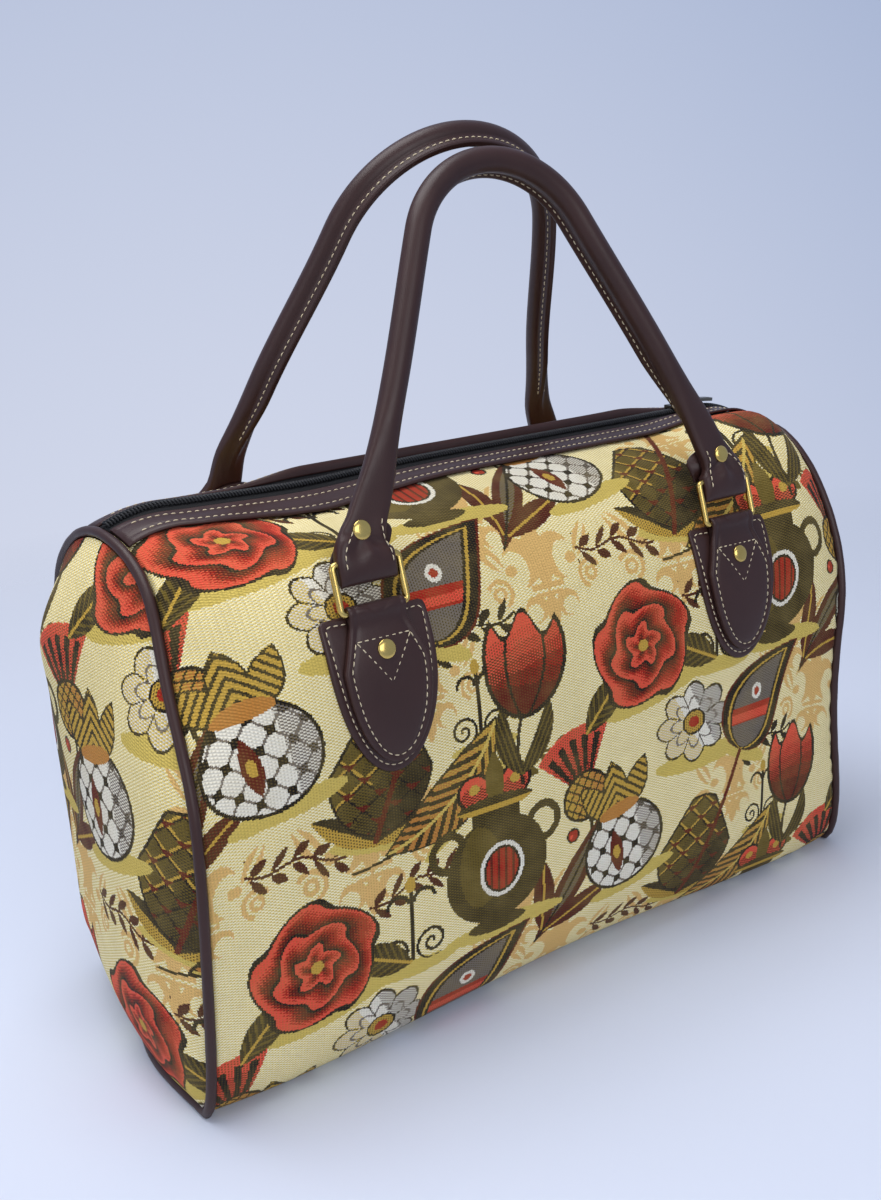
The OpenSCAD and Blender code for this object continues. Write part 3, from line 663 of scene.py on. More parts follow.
def plain_weave(name, first, second, pitch, roughness):
    """A plain woven cloth in two close tones."""
    made, tree, shader = shader_material(name, roughness, specular=0.3)
    x, y, z = coordinates(tree, "ShaderNodeTexCoord", "Object")
    turn = math.tau / pitch
    over = (x * turn).cosine()
    under = ((y + z) * turn).cosine()
    weave = over * under
    share = weave.times_plus(0.3, noise(tree, 60.0) * 0.8)
    toned(tree, shader, share, first, second)
    bumped(tree, shader, weave, 0.35, 0.15 * MM)
    return made


def nylon():
    made, tree, shader = shader_material("black_nylon", 0.46, specular=0.3)
    toned(tree, shader, noise(tree, 200.0), (12, 12, 13), (25, 24, 26))
    spread_roughness(tree, shader, noise(tree, 500.0), 0.4, 0.56)
    return made


def fibreboard():
    made, tree, shader = shader_material("fibreboard", 0.8, specular=0.3)
    toned(tree, shader, noise(tree, 160.0, 6.0, (1, 4, 1)), (112, 92, 70), (150, 128, 98))
    bumped(tree, shader, noise(tree, 700.0, 4.0), 0.3, 0.2 * MM)
    return made


TAPESTRY = tapestry()
TRIM = leatherette()
THREAD_CREAM = thread()
BRASS = metal("brass", (190, 158, 84), (220, 192, 114), 0.18, 0.27)
GUNMETAL = metal("gunmetal", (92, 88, 80), (126, 120, 108), 0.28, 0.42)
LINING = plain_weave("lining_cloth", (146, 128, 100), (172, 154, 124), 0.9 * MM, 0.85)
TAPE = plain_weave("zip_tape_cloth", (13, 13, 14), (26, 25, 27), 0.8 * MM, 0.85)
NYLON = nylon()
BOARD = fibreboard()


# Meshes

def grid_faces(rows, columns):
    """Quads of a grid of points."""
    return [(i * columns + j, i * columns + j + 1, (i + 1) * columns + j + 1, (i + 1) * columns + j)
            for i in range(rows - 1) for j in range(columns - 1)]


def ring_faces(count, sides, loop=False):
    """Quads between rings of points that follow each other."""
    faces = []
    for i in range(count if loop else count - 1):
        k = (i + 1) % count
        faces += [(i * sides + j, i * sides + (j + 1) % sides, k * sides + (j + 1) % sides, k * sides + j)
                  for j in range(sides)]
    return faces


def loft(rings, loop=False):
    """Points and faces of a tube through rings of points; its ends are capped unless it is a loop."""
    count, sides = rings.shape[:2]
    faces = ring_faces(count, sides, loop)
    if not loop:
        faces.append(tuple(range(sides - 1, -1, -1)))
        faces.append(tuple(range((count - 1) * sides, count * sides)))
    return rings.reshape(-1, 3), faces


def open_dish(rings):
    """Points and faces of a dish through rings of points, from its middle to its open rim."""
    count, sides = rings.shape[:2]
    return rings.reshape(-1, 3), ring_faces(count, sides) + [tuple(range(sides))]


def joined(parts):
    """Several (points, faces) as one."""
    points = []
    faces = []
    for more, these in parts:
        first = sum(len(p) for p in points)
        points.append(np.asarray(more))
        faces += [tuple(first + i for i in face) for face in these]
    return np.concatenate(points), faces


def piece(name, points, faces, material, body, slot=None, nodes=(), cloth=None, thickness=0.0, merge=0.0):
    """A smooth mesh object that rides on a body; cloth gives each point its place on the woven cloth."""
    mesh = bpy.data.meshes.new(name)
    mesh.from_pydata(np.asarray(points).tolist(), [], faces)
    if cloth is not None:
        layer = mesh.attributes.new("cloth", "FLOAT_VECTOR", "POINT")
        layer.data.foreach_set("vector", np.asarray(cloth, dtype=np.float32).ravel())
    edit = bmesh.new()
    edit.from_mesh(mesh)
    if merge:
        bmesh.ops.remove_doubles(edit, verts=edit.verts, dist=merge)
    bmesh.ops.recalc_face_normals(edit, faces=edit.faces)
    edit.to_mesh(mesh)
    edit.free()
    mesh.polygons.foreach_set("use_smooth", [True] * len(mesh.polygons))
    mesh.materials.append(material)
    obj = bpy.data.objects.new(name, mesh)
    bpy.context.scene.collection.objects.link(obj)
    if thickness:
        shell = obj.modifiers.new("thickness", "SOLIDIFY")
        shell.thickness = thickness
        shell.offset = -1.0
    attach(obj, body)
    if nodes:
        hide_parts(*nodes)
    return obj


def unit(v):
    return v / np.maximum(np.linalg.norm(v, axis=-1, keepdims=True), 1e-12)


def smooth(t):
    t = np.clip(t, 0.0, 1.0)
    return t * t * (3.0 - 2.0 * t)


def run_lengths(line):
    """Length along a line at each of its points."""
    return np.concatenate([[0], np.cumsum(np.linalg.norm(np.diff(line, axis=0), axis=1))])


def at_lengths(wanted, run, rows):
    """Rows that belong to the points of a run, at other lengths along it."""
    return np.stack([np.interp(wanted, run, column) for column in np.asarray(rows).T], 1)


def opened(line):
    """A closed row of points, started after its widest gap."""
    gaps = np.linalg.norm(np.diff(np.concatenate([line, line[:1]]), axis=0), axis=1)
    return np.roll(line, -int(np.argmax(gaps)) - 1, 0)


def half_turn(points):
    """Points of the front turned to the back of the bag."""
    return np.asarray(points) * np.array([-1.0, -1.0, 1.0])


# Shape of the bag

def end_blend(s):
    return max(0.0, (abs(s) - STRAIGHT_SHARE) / (1 - STRAIGHT_SHARE)) ** 2


def drop_blend(s):
    return max(0.0, (abs(s) - LEVEL_SHARE) / (1 - LEVEL_SHARE)) ** 2


def section_half(s):
    return HALF_DEPTH - END_NARROWING * end_blend(s)


def section_floor(s):
    return FLOOR_HALF - END_NARROWING * end_blend(s)


def section_top(s):
    return BAG_HEIGHT - DROP_HEIGHT * drop_blend(s)


def section_power(s):
    return DOME_POWER + (END_DOME_POWER - DOME_POWER) * end_blend(s)


def seam_x(z):
    return HALF_LENGTH - END_SETBACK * (np.maximum(0.0, z) / BAG_HEIGHT) ** LEAN_POWER


def cloth_x(z):
    return seam_x(z) - PIPING_RADIUS - SEAM_GAP


FINE_STEPS = 300


def half_section(s, start, shares):
    """Depth and height at shares of the way from a depth beside the zip to the middle of the floor."""
    half = section_half(s)
    foot = section_floor(s)
    power = section_power(s)
    a0 = math.asin((start / half) ** (power / 2))
    a = np.linspace(a0, math.pi / 2, FINE_STEPS)
    b = np.linspace(0, math.pi / 2, FINE_STEPS)[1:]
    dome = np.stack([half * np.sin(a) ** (2 / power),
                     WIDEST_HEIGHT + (section_top(s) - WIDEST_HEIGHT) * np.cos(a).clip(0) ** (2 / power)], 1)
    side = np.stack([foot + (half - foot) * np.cos(b).clip(0) ** (2 / SIDE_POWER),
                     WIDEST_HEIGHT * (1 - np.sin(b) ** (2 / SIDE_POWER))], 1)
    line = np.concatenate([dome, side, [[0.0, 0.0]]])
    run = run_lengths(line)
    return at_lengths(np.asarray(shares) * run[-1], run, line), run[-1]


def outset(line, h):
    """A line of depth and height moved outward by h."""
    t = unit(np.gradient(line, axis=0))
    return line + np.asarray(h).reshape(-1, 1) * np.stack([-t[:, 1], t[:, 0]], 1)


def top_height(s, y):
    power = section_power(s)
    share = (1 - (y / section_half(s)) ** power) ** (1 / power)
    return WIDEST_HEIGHT + (section_top(s) - WIDEST_HEIGHT) * share


def cloth_depth(z):
    """Depth of the cloth at a height in the straight middle of the bag."""
    high = ((z - WIDEST_HEIGHT) / (BAG_HEIGHT - WIDEST_HEIGHT)).clip(0, 1)
    low = (1 - z / WIDEST_HEIGHT).clip(0, 1)
    dome = HALF_DEPTH * (1 - high ** DOME_POWER) ** (1 / DOME_POWER)
    side = FLOOR_HALF + (HALF_DEPTH - FLOOR_HALF) * (1 - low ** SIDE_POWER) ** (1 / SIDE_POWER)
    return np.where(z > WIDEST_HEIGHT, dome, side)


PROBE = 0.5 * MM


def outside(z, h):
    """Depth and height of a point h outside the cloth, and the outward direction there."""
    z = np.asarray(z, dtype=float)
    slope = (cloth_depth(z + PROBE) - cloth_depth(z - PROBE)) / (2 * PROBE)
    out = unit(np.stack([np.ones_like(z), -slope], -1))
    return np.stack([cloth_depth(z), z], -1) + np.asarray(h)[..., None] * out, out


# How the cloth has settled. The left end leans back, its front shoulder flattens, its back seam tucks in and
# its bottom seam bows out at the front. The right end leans out at the top and in below, with a full
# shoulder. The back edge of the zip stands up between the handles, the cloth behind the slider is pulled up
# and the front band dips near the left tab. The front's lower edge is drawn back and lifted in the middle.
SLUMP_START = 160 * MM
SLUMP_REACH = 62 * MM
END_START = 100 * MM
END_REACH = 112 * MM
LEAN_BACK = 12 * MM
SHOULDER_DENT = 12 * MM
BACK_TUCK = 5 * MM
LOW_TUCK = 5 * MM
LOW_BOW = 5.5 * MM
LEFT_LEAN_OUT = 11 * MM
RIGHT_LEAN_OUT = 10 * MM
RIGHT_LEAN_IN = 18 * MM
SHOULDER_PUFF = 11 * MM
RIDGE_RISE = 5 * MM
BACK_FALL = 4 * MM
CREST_RISE = 8 * MM
FRONT_SINK = 3.5 * MM
COIL_DIP = 2.5 * MM
BAND_DIP = 4 * MM
EDGE_SET_BACK = 5 * MM
EDGE_LIFT = 3.5 * MM
PUFF_FORWARD = 0.45
PUFF_UP = 0.9
# Start and reach of each fade, and middle and reach of each bell, in millimetres
LOW_FADE = (-140, 140)
TUCK_FADE = (-30, 110)
BOW_BELL = (-30, 45)
LEFT_OUT_HEIGHT = (190, 80)
LEFT_OUT_DEPTH = (-60, 90)
RIGHT_OUT_HEIGHT = (150, 140)
RIGHT_IN_BELL = (110, 85)
EDGE_BELL = (10, 120)
SET_BACK_DEPTH = (40, 30)
SET_BACK_HEIGHT = (0, 60)
LIFT_DEPTH = (66, 9)
LIFT_HEIGHT = (0, 40)
LEAN_BACK_HEIGHT = (110, 150)
DENT_BELL = (225, 42)
PUFF_LENGTH_BELL = (178, 42)
PUFF_DEPTH_BELL = (-45, 38)
PUFF_HEIGHT = (200, 60)
PUFF_DEPTH = (12, 28)
HIGH_FADE = (240, 30)
LEFT_OF_MIDDLE = (-145, 45)
RIGHT_OF_MIDDLE = (-165, 45)
RIDGE_FRONT = (5.6, 2)
RIDGE_BACK = (-30, 22)
INNER_FADE = (-214, 40)
FALL_FRONT = (7, 18)
FALL_BACK = (-80, 40)
CREST_LENGTH_BELL = (150, 30)
CREST_DEPTH_BELL = (36, 18)
DIP_BELL = (-108, 48)
DIP_FRONT = (-75, 45)
COIL_DIP_DEPTH = (-7, 6)
BAND_DIP_DEPTH = (2, 24)
SINK_BACK = (4, 4)
SINK_FRONT = (-70, 40)


def bell(value, middle, reach):
    """Is 1 at a middle and falls off over a reach, both in millimetres."""
    return np.exp(-((value - middle * MM) / (reach * MM)) ** 2)


def ramp(value, start, reach):
    """Rises from 0 to 1 over a reach, both in millimetres."""
    return smooth((value - start * MM) / (reach * MM))


def settle(points):
    """Moves points of the soft shell the way the cloth has settled."""
    p = np.array(points, dtype=float)
    x, y, z = p[..., 0].copy(), p[..., 1].copy(), p[..., 2].copy()
    slump = smooth((-x - SLUMP_START) / SLUMP_REACH)
    left = smooth((-x - END_START) / END_REACH)
    right = smooth((x - END_START) / END_REACH)
    low = ramp(-z, *LOW_FADE)
    p[..., 0] += left * ramp(y, *TUCK_FADE) * (BACK_TUCK + LOW_TUCK * low)
    p[..., 0] -= left * low * LOW_BOW * bell(y, *BOW_BELL)
    p[..., 0] -= left * LEFT_LEAN_OUT * ramp(z, *LEFT_OUT_HEIGHT) * ramp(y, *LEFT_OUT_DEPTH)
    p[..., 0] += right * RIGHT_LEAN_OUT * ramp(z, *RIGHT_OUT_HEIGHT)
    p[..., 0] -= right * RIGHT_LEAN_IN * bell(z, *RIGHT_IN_BELL)
    between = bell(x, *EDGE_BELL)
    p[..., 1] += EDGE_SET_BACK * between * ramp(-y, *SET_BACK_DEPTH) * (1 - ramp(z, *SET_BACK_HEIGHT))
    p[..., 2] += EDGE_LIFT * between * ramp(-y, *LIFT_DEPTH) * (1 - ramp(z, *LIFT_HEIGHT))
    p[..., 1] += LEAN_BACK * slump * ramp(z, *LEAN_BACK_HEIGHT)
    p[..., 1] += SHOULDER_DENT * slump * smooth(-y / HALF_DEPTH) * bell(z, *DENT_BELL)
    puff = SHOULDER_PUFF * bell(x, *PUFF_LENGTH_BELL) * bell(y, *PUFF_DEPTH_BELL)
    puff *= ramp(z, *PUFF_HEIGHT) * ramp(-y, *PUFF_DEPTH)
    p[..., 1] -= PUFF_FORWARD * puff
    p[..., 2] += PUFF_UP * puff
    high = ramp(z, *HIGH_FADE)
    before_right = ramp(-x, *RIGHT_OF_MIDDLE)
    middle = ramp(x, *LEFT_OF_MIDDLE) * before_right
    p[..., 2] += RIDGE_RISE * middle * high * ramp(y, *RIDGE_FRONT) * ramp(-y, *RIDGE_BACK)
    inner = ramp(x, *INNER_FADE)
    p[..., 2] -= BACK_FALL * inner * high * ramp(y, *FALL_FRONT) * ramp(-y, *FALL_BACK)
    p[..., 2] += CREST_RISE * high * bell(x, *CREST_LENGTH_BELL) * bell(y, *CREST_DEPTH_BELL)
    dip = high * bell(x, *DIP_BELL) * ramp(y, *DIP_FRONT)
    p[..., 2] -= dip * (COIL_DIP * ramp(-y, *COIL_DIP_DEPTH) + BAND_DIP * ramp(-y, *BAND_DIP_DEPTH))
    p[..., 2] -= FRONT_SINK * inner * before_right * high * ramp(-y, *SINK_BACK) * ramp(y, *SINK_FRONT)
    return p


def ripple(x, v):
    """Small uneven swells of the cloth, from minus one to one."""
    return (np.sin(31 * x + 4.1 * np.sin(9 * v)) * np.sin(23 * v + 3.0 * np.sin(11 * x + 1.3))
            + 0.5 * np.sin(67 * x - 41 * v + 0.7)) / 1.5


SWELL = 1.1 * MM
PUCKER = 0.45 * MM
PUCKER_PITCH = 13 * MM
PUCKER_REACH = 9 * MM
CLOTH_STATIONS = 141
CLOTH_STEPS = 117
# Start and reach, in millimetres, of the stretches over which the swells and puckers begin
SWELL_FROM_ZIP = (30, 40)
SWELL_FROM_SEAM = (2, 35)
SWELL_BELOW_TABS = (190, 30)
SWELL_FROM_FLOOR = (4, 40)
PUCKER_FROM_FLOOR = (3, 12)
TAB_CLEAR = 32 * MM
TAB_FADE = 25 * MM


def station_shares(count):
    """Stations along the bag, closer together at the ends."""
    t = np.linspace(-1, 1, count)
    return t * (1.18 - 0.18 * t * t)


def make_cloth():
    """The front, bottom and back in one piece, open along the zip."""
    shares = np.linspace(0, 1, CLOTH_STEPS)
    rows = []
    places = []
    _, nominal = half_section(0.0, SLOT_HALF, shares)
    for s in station_shares(CLOTH_STATIONS):
        line, _ = half_section(s, SLOT_HALF, shares)
        for side in (-1, 1):
            run = shares * nominal
            x = s * cloth_x(line[:, 1])
            edge = cloth_x(line[:, 1]) - np.abs(x)
            clear = ramp(run, *SWELL_FROM_ZIP) * ramp(edge, *SWELL_FROM_SEAM)
            beside = (np.abs(np.abs(x) - TAB_PLACE) - TAB_CLEAR) / TAB_FADE
            clear *= smooth(beside + ramp(run, *SWELL_BELOW_TABS)) * ramp(line[:, 1], *SWELL_FROM_FLOOR)
            wave = np.sin(math.tau * run / PUCKER_PITCH + 1.7 * np.sin(run * 70))
            lift = SWELL * clear * ripple(x + 0.3 * (side + 1), run)
            lift += PUCKER * wave * np.exp(-edge / PUCKER_REACH) * ramp(line[:, 1], *PUCKER_FROM_FLOOR)
            half = outset(line, lift)
            points = np.stack([x, side * half[:, 0], half[:, 1]], 1)
            place = np.stack([x, -side * (nominal - run), np.zeros_like(x)], 1)
            rows.append(points if side < 0 else points[::-1][1:])
            places.append(place if side < 0 else place[::-1][1:])
    columns = 2 * CLOTH_STEPS - 1
    points = settle(np.concatenate(rows))
    cloth = np.concatenate(places)
    made = piece("cloth_body", points, grid_faces(CLOTH_STATIONS, columns), TAPESTRY, "bag", "tapestry",
                 ["body_cloth"], cloth, CLOTH_THICKNESS)


LINING_STATIONS = 61
LINING_STEPS = 55
LINING_DEPTH = CLOTH_THICKNESS + LAYER_GAP


def make_lining():
    """Lining of the front, bottom and back, hanging inside the cloth."""
    shares = np.linspace(0, 1, LINING_STEPS)
    rows = []
    for s in station_shares(LINING_STATIONS):
        line, total = half_section(s, SLOT_HALF, shares)
        half = outset(line, -LINING_DEPTH)
        x = s * cloth_x(half[:, 1])
        rows.append(np.stack([x, -half[:, 0], half[:, 1]], 1))
        rows.append(np.stack([x, half[:, 0], half[:, 1]], 1)[::-1][1:])
    columns = 2 * LINING_STEPS - 1
    made = piece("lining_body", settle(np.concatenate(rows)), grid_faces(LINING_STATIONS, columns), LINING,
                 "bag", "lining", ["body_lining"], thickness=LINING_THICKNESS)


# Ends

OUTLINE_STEPS = 72


def end_outline():
    """Depth and height round an end, from the top round the front, the floor and the back."""
    line, _ = half_section(1.0, 1e-9, np.linspace(0, 1, OUTLINE_STEPS))
    return np.concatenate([line * [-1, 1], line[::-1][1:-1]])


def loop_outset(line, h):
    t = unit(np.roll(line, -1, 0) - np.roll(line, 1, 0))
    return line + h * np.stack([t[:, 1], -t[:, 0]], 1)


def piping_line():
    line = end_outline()
    return np.stack([seam_x(line[:, 1]), line[:, 0], np.maximum(line[:, 1], PIPING_RADIUS)], 1)


PIPING_SIDES = 14


def make_piping(name, side):
    """Cord in a sleeve of trim round an end, with the small creases of a sleeve that bends."""
    line = piping_line()
    flat = line[:, 1:]
    out = loop_outset(flat, 1.0) - flat
    t = unit(np.roll(line, -1, 0) - np.roll(line, 1, 0))
    n = np.concatenate([np.zeros((len(line), 1)), out], 1)
    across = unit(np.cross(t, n))
    up = np.cross(across, t)
    run = np.arange(len(line))
    radius = PIPING_RADIUS * (1 + 0.035 * np.sin(run * 1.9) * np.sin(run * 0.37 + side))
    a = np.arange(PIPING_SIDES) * math.tau / PIPING_SIDES
    rings = line[:, None] + radius[:, None, None] * (
        np.cos(a)[None, :, None] * up[:, None] + np.sin(a)[None, :, None] * across[:, None])
    rings[..., 2] = np.maximum(rings[..., 2], 0.0)
    rings[..., 0] *= side
    points, faces = loft(settle(rings), loop=True)
    piece(name, points, faces, TRIM, "bag", "trim", [name.replace("piping_", "") + "_piping"])


PANEL_RINGS = 40
# The back half of the left end stands out more than the rest of the panels
LEFT_BULGE = 10 * MM
LOW_BULGE = 3.5 * MM
BULGE_FADE = 0.35
# Middle and reach in depth and in height, in millimetres
LEFT_BULGE_BELLS = ((45, 50), (230, 65))
LOW_BULGE_BELLS = ((45, 45), (50, 50))
# Shares of the way from a panel's rim to its middle over which its puckers fade and its swells begin
RIM_REACH = 0.06
SWELL_REACH = 0.3
END_SWELL = 1.6 * SWELL


def left_bulge(rings, shares):
    """Extra swell of the left end panel's rings."""
    y, z = rings[..., 1], rings[..., 2]
    bulge = 0.0
    for amount, (depth, height) in ((LEFT_BULGE, LEFT_BULGE_BELLS), (LOW_BULGE, LOW_BULGE_BELLS)):
        bulge = bulge + amount * bell(y, *depth) * bell(z, *height)
    return smooth((1 - shares) / BULGE_FADE)[:, None] * bulge


def dish(inset, inward, shares):
    """Rings of a domed end panel, from its middle to its rim."""
    line = piping_line()
    rim = loop_outset(line[:, 1:], -inset)
    middle = np.array([0.0, (rim[:, 1].max() + rim[:, 1].min()) / 2])
    rings = []
    for share in shares:
        q = middle + (rim - middle) * share
        x = seam_x(q[:, 1]) + SWELL_DEPTH * (1 - share ** SWELL_POWER) - inward
        rings.append(np.stack([x, q[:, 0], q[:, 1]], 1))
    return np.stack(rings)


def make_end_panel(name, side):
    shares = np.sin(np.linspace(0.02, 1, PANEL_RINGS) * math.pi / 2)
    rings = dish(PIPING_RADIUS + SEAM_GAP, -CLOTH_THICKNESS / 2, shares)
    cloth = np.stack([rings[..., 1] * side, rings[..., 2], np.zeros(rings.shape[:2])], -1)
    run = np.arange(rings.shape[1]) * (OUTLINE_STEPS / rings.shape[1])
    rim = np.exp(-(1 - shares) / RIM_REACH)[:, None]
    rings[..., 0] += PUCKER * rim * (1 - rim) * 3 * np.sin(run * 2.2 + np.sin(run * 0.6))
    clear = smooth((1 - shares) / SWELL_REACH)[:, None]
    rings[..., 0] += END_SWELL * clear * ripple(rings[..., 1] + side, rings[..., 2])
    if side < 0:
        rings[..., 0] += left_bulge(rings, shares)
    rings[..., 0] *= side
    points, faces = open_dish(settle(rings))
    made = piece(name, points, faces, TAPESTRY, "bag", "tapestry",
                 [name.replace("cloth_", "") + "_panel"], cloth.reshape(-1, 3), CLOTH_THICKNESS)
    orient(made, side)


def orient(obj, side):
    """Turns an open dish so that its faces look out of the bag."""
    mesh = obj.data
    facing = sum(p.normal.x * p.area for p in mesh.polygons)
    if facing * side < 0:
        mesh.flip_normals()


def make_end_lining(name, side):
    inset = LINING_DEPTH + LINING_THICKNESS + LAYER_GAP + PIPING_RADIUS
    rings = dish(inset, CLOTH_THICKNESS / 2 + 2 * LAYER_GAP, np.linspace(0.05, 1, 14))
    rings[..., 0] *= side
    points, faces = open_dish(settle(rings))
    made = piece(name, points, faces, LINING, "bag", "lining",
                 [name.replace("lining_", "") + "_lining"], thickness=LINING_THICKNESS)
    orient(made, side)


# Stitches

def stitch_form(rings=5, sides=6):
    """One stitch along X, arched, its ends going down into the trim."""
    t = np.linspace(-1, 1, rings)
    a = np.arange(sides) * math.tau / sides
    radius = STITCH_RADIUS * np.sqrt(1.02 - t ** 4)
    lift = STITCH_RADIUS * (0.75 - 1.0 * t ** 4)
    form = np.zeros((rings, sides, 3))
    form[..., 0] = (t * STITCH_LENGTH / 2)[:, None]
    form[..., 1] = radius[:, None] * np.cos(a)
    form[..., 2] = lift[:, None] + radius[:, None] * np.sin(a)
    return loft(form)


FORM_POINTS, FORM_FACES = stitch_form()


def along(points, wanted):
    """Points at lengths along a line."""
    return at_lengths(wanted, run_lengths(points), points)


def stitch_row(points, normals):
    """Stitches along a line of points, standing on the surface that the normals give."""
    points = np.asarray(points)
    run = run_lengths(points)
    count = max(1, int(round(run[-1] / (STITCH_LENGTH + STITCH_GAP))))
    middle = (np.arange(count) + 0.5) * run[-1] / count
    half = STITCH_LENGTH / 2
    place = along(points, middle)
    forward = unit(along(points, middle + half) - along(points, middle - half))
    up = at_lengths(middle, run, normals)
    across = unit(np.cross(up, forward))
    up = np.cross(forward, across)
    parts = []
    for o, f, s, u in zip(place, forward, across, up):
        parts.append((o + FORM_POINTS @ np.stack([f, s, u]), FORM_FACES))
    return parts


# Zip

BAND_EDGE = SLOT_HALF - LAYER_GAP
BAND_STATIONS = 121
BAND_UNEVENNESS = 0.25 * MM
# Stations at each end of a band that carry no stitches
UNSEWN = 3
TAPE_STEPS = 9
# Depth across a band as shares of its width, and height as shares of its thickness
BAND_FORM = ((0.0, 0.0), (0.0, 0.45), (0.02, 0.8), (0.06, 1.0), (0.14, 1.04), (0.2, 0.98), (0.235, 0.8),
             (0.27, 0.98), (0.4, 1.08), (0.6, 1.08), (0.73, 0.98), (0.765, 0.8), (0.8, 0.98), (0.86, 1.04),
             (0.94, 1.0), (0.98, 0.8), (1.0, 0.45), (1.0, 0.0))
STITCH_SHARES = (0.235, 0.765)


def top_points(s, depths, heights):
    """Points over the top of the front at some depths, at heights above the cloth."""
    line = np.stack([-depths, top_height(s, depths)], 1)
    fine = np.stack([-(depths + PROBE), top_height(s, depths + PROBE)], 1)
    t = unit(fine - line)
    out = np.stack([t[:, 1], -t[:, 0]], 1)
    moved = line + heights[:, None] * out
    return np.stack([s * cloth_x(moved[:, 1]), moved[:, 0], moved[:, 1]], 1)


def make_bands():
    shares = np.array([p[0] for p in BAND_FORM])
    heights = np.array([p[1] for p in BAND_FORM])
    depths = BAND_EDGE + BAND_WIDTH * shares
    rows = []
    for s in station_shares(BAND_STATIONS):
        uneven = BAND_UNEVENNESS * math.sin(s * 41) * math.sin(s * 17 + 1)
        rows.append(top_points(s, depths + uneven * shares, BAND_BOTTOM + BAND_THICKNESS * heights))
    front = np.stack(rows)
    for name, rings in (("front", front), ("back", half_turn(front))):
        points, faces = loft(settle(rings))
        piece(f"{name}_band", points, faces, TRIM, "bag", "trim", [f"{name}_zip_band"])
        parts = []
        for share in STITCH_SHARES:
            column = int(np.argmin(np.abs(shares - share)))
            before, line, after = [settle(rings[UNSEWN:-UNSEWN, column + k]) for k in (-1, 0, 1)]
            rise = after - before
            normals = unit(np.cross(np.gradient(line, axis=0), rise))
            normals *= np.sign(normals[:, 2:3])
            parts += stitch_row(line, normals)
        points, faces = joined(parts)
        piece(f"{name}_band_stitches", points, faces, THREAD_CREAM, "bag")


def make_tapes():
    depths = LAYER_GAP / 2 + (TAPE_WIDTH - LAYER_GAP / 2) * np.linspace(0, 1, TAPE_STEPS)
    rows = [top_points(s, depths, np.full(TAPE_STEPS, TAPE_TOP)) for s in station_shares(BAND_STATIONS)]
    front = np.stack(rows)
    for name, grid in (("front", front), ("back", half_turn(front))):
        made = piece(f"{name}_tape", settle(grid).reshape(-1, 3), grid_faces(BAND_STATIONS, TAPE_STEPS),
                     TAPE, "bag", "zip_tape", [f"{name}_zip_tape"], thickness=TAPE_THICKNESS)
        if sum(p.normal.z * p.area for p in made.data.polygons) < 0:
            made.data.flip_normals()


TOOTH_SLANT = 1.3 * MM
TOOTH_OVERLAP = 0.7 * MM
TOOTH_RINGS = 8
TOOTH_SIDES = 6
# Share of a tooth's way to the middle at which it is highest
TOOTH_CREST = 0.62


def make_coils():
    """Two rows of nylon loops that mesh along the middle."""
    line = []
    for s in station_shares(BAND_STATIONS):
        z = section_top(s) + COIL_BOTTOM + TOOTH_RADIUS
        line.append([s * cloth_x(z), 0.0, z])
    line = np.array(line)
    total = run_lengths(line)[-1]
    for name, side, shift in (("front", -1, 0.0), ("back", 1, 0.5)):
        centres = along(line, (np.arange(int(total / TOOTH_PITCH) - 1) + 0.5 + shift) * TOOTH_PITCH)
        t = np.linspace(0, 1, TOOTH_RINGS)
        outer = COIL_HALF - TOOTH_RADIUS
        depth = side * (outer - (outer + TOOTH_OVERLAP) * t)
        rise = (COIL_HEIGHT - 2 * TOOTH_RADIUS) * (1 - ((t - TOOTH_CREST) / TOOTH_CREST) ** 2).clip(0)
        slant = TOOTH_SLANT * (t - 0.5) * side
        radius = TOOTH_RADIUS * np.sqrt(np.clip(1.03 - (2 * t - 1) ** 6, 0, 1))
        a = np.arange(TOOTH_SIDES) * math.tau / TOOTH_SIDES
        form = np.zeros((TOOTH_RINGS, TOOTH_SIDES, 3))
        form[..., 0] = slant[:, None] + radius[:, None] * np.cos(a)
        form[..., 1] = depth[:, None]
        form[..., 2] = rise[:, None] + radius[:, None] * np.sin(a)
        tooth, faces = loft(form)
        points, faces = joined([(settle(c + tooth), faces) for c in centres])
        piece(f"{name}_coil", points, faces, NYLON, "bag", "zip_coil", [f"{name}_zip_coil"])


# Patches and tabs

PAD_SIDES = 96


def pad_rings(outline, spine, insets, shares):
    """Rings that follow an outline inward to a spine along the second axis: at insets, then at shares."""
    low, high = spine
    target = np.stack([np.zeros(len(outline)), outline[:, 1].clip(low, high)], 1)
    way = target - outline
    reach = np.linalg.norm(way, axis=1, keepdims=True)
    rings = [outline + way * np.minimum(1.0, inset / reach) for inset in insets]
    last = np.minimum(1.0, insets[-1] / reach)
    rings += [outline + way * (last + (1 - last) * share) for share in shares]
    return np.stack(rings)


# Inset from the edge and height, as shares of the stitch inset and of the pad's thickness
PAD_FORM = ((0.0, 0.0), (0.0, 0.55), (0.05, 0.8), (0.16, 0.96), (0.4, 1.05), (0.75, 0.98), (1.0, 0.82),
            (1.25, 0.98), (1.7, 1.06))
PAD_SHARES = (0.3, 0.6, 0.85, 1.0)


def pad(outline, spine, thickness, crown, place):
    """Points and faces of a sewn pad with a rounded edge and a dip along its stitches."""
    insets = [STITCH_INSET * f[0] for f in PAD_FORM]
    rings = pad_rings(outline, spine, insets, PAD_SHARES)
    heights = [f[1] for f in PAD_FORM] + [1.08 + crown * math.sin(math.pi / 2 * s) for s in PAD_SHARES]
    points = np.stack([place(r[:, 0], r[:, 1], h, thickness) for r, h in zip(rings, heights)])
    count, sides = points.shape[:2]
    return points.reshape(-1, 3), ring_faces(count, sides) + [tuple(range(sides - 1, -1, -1))]


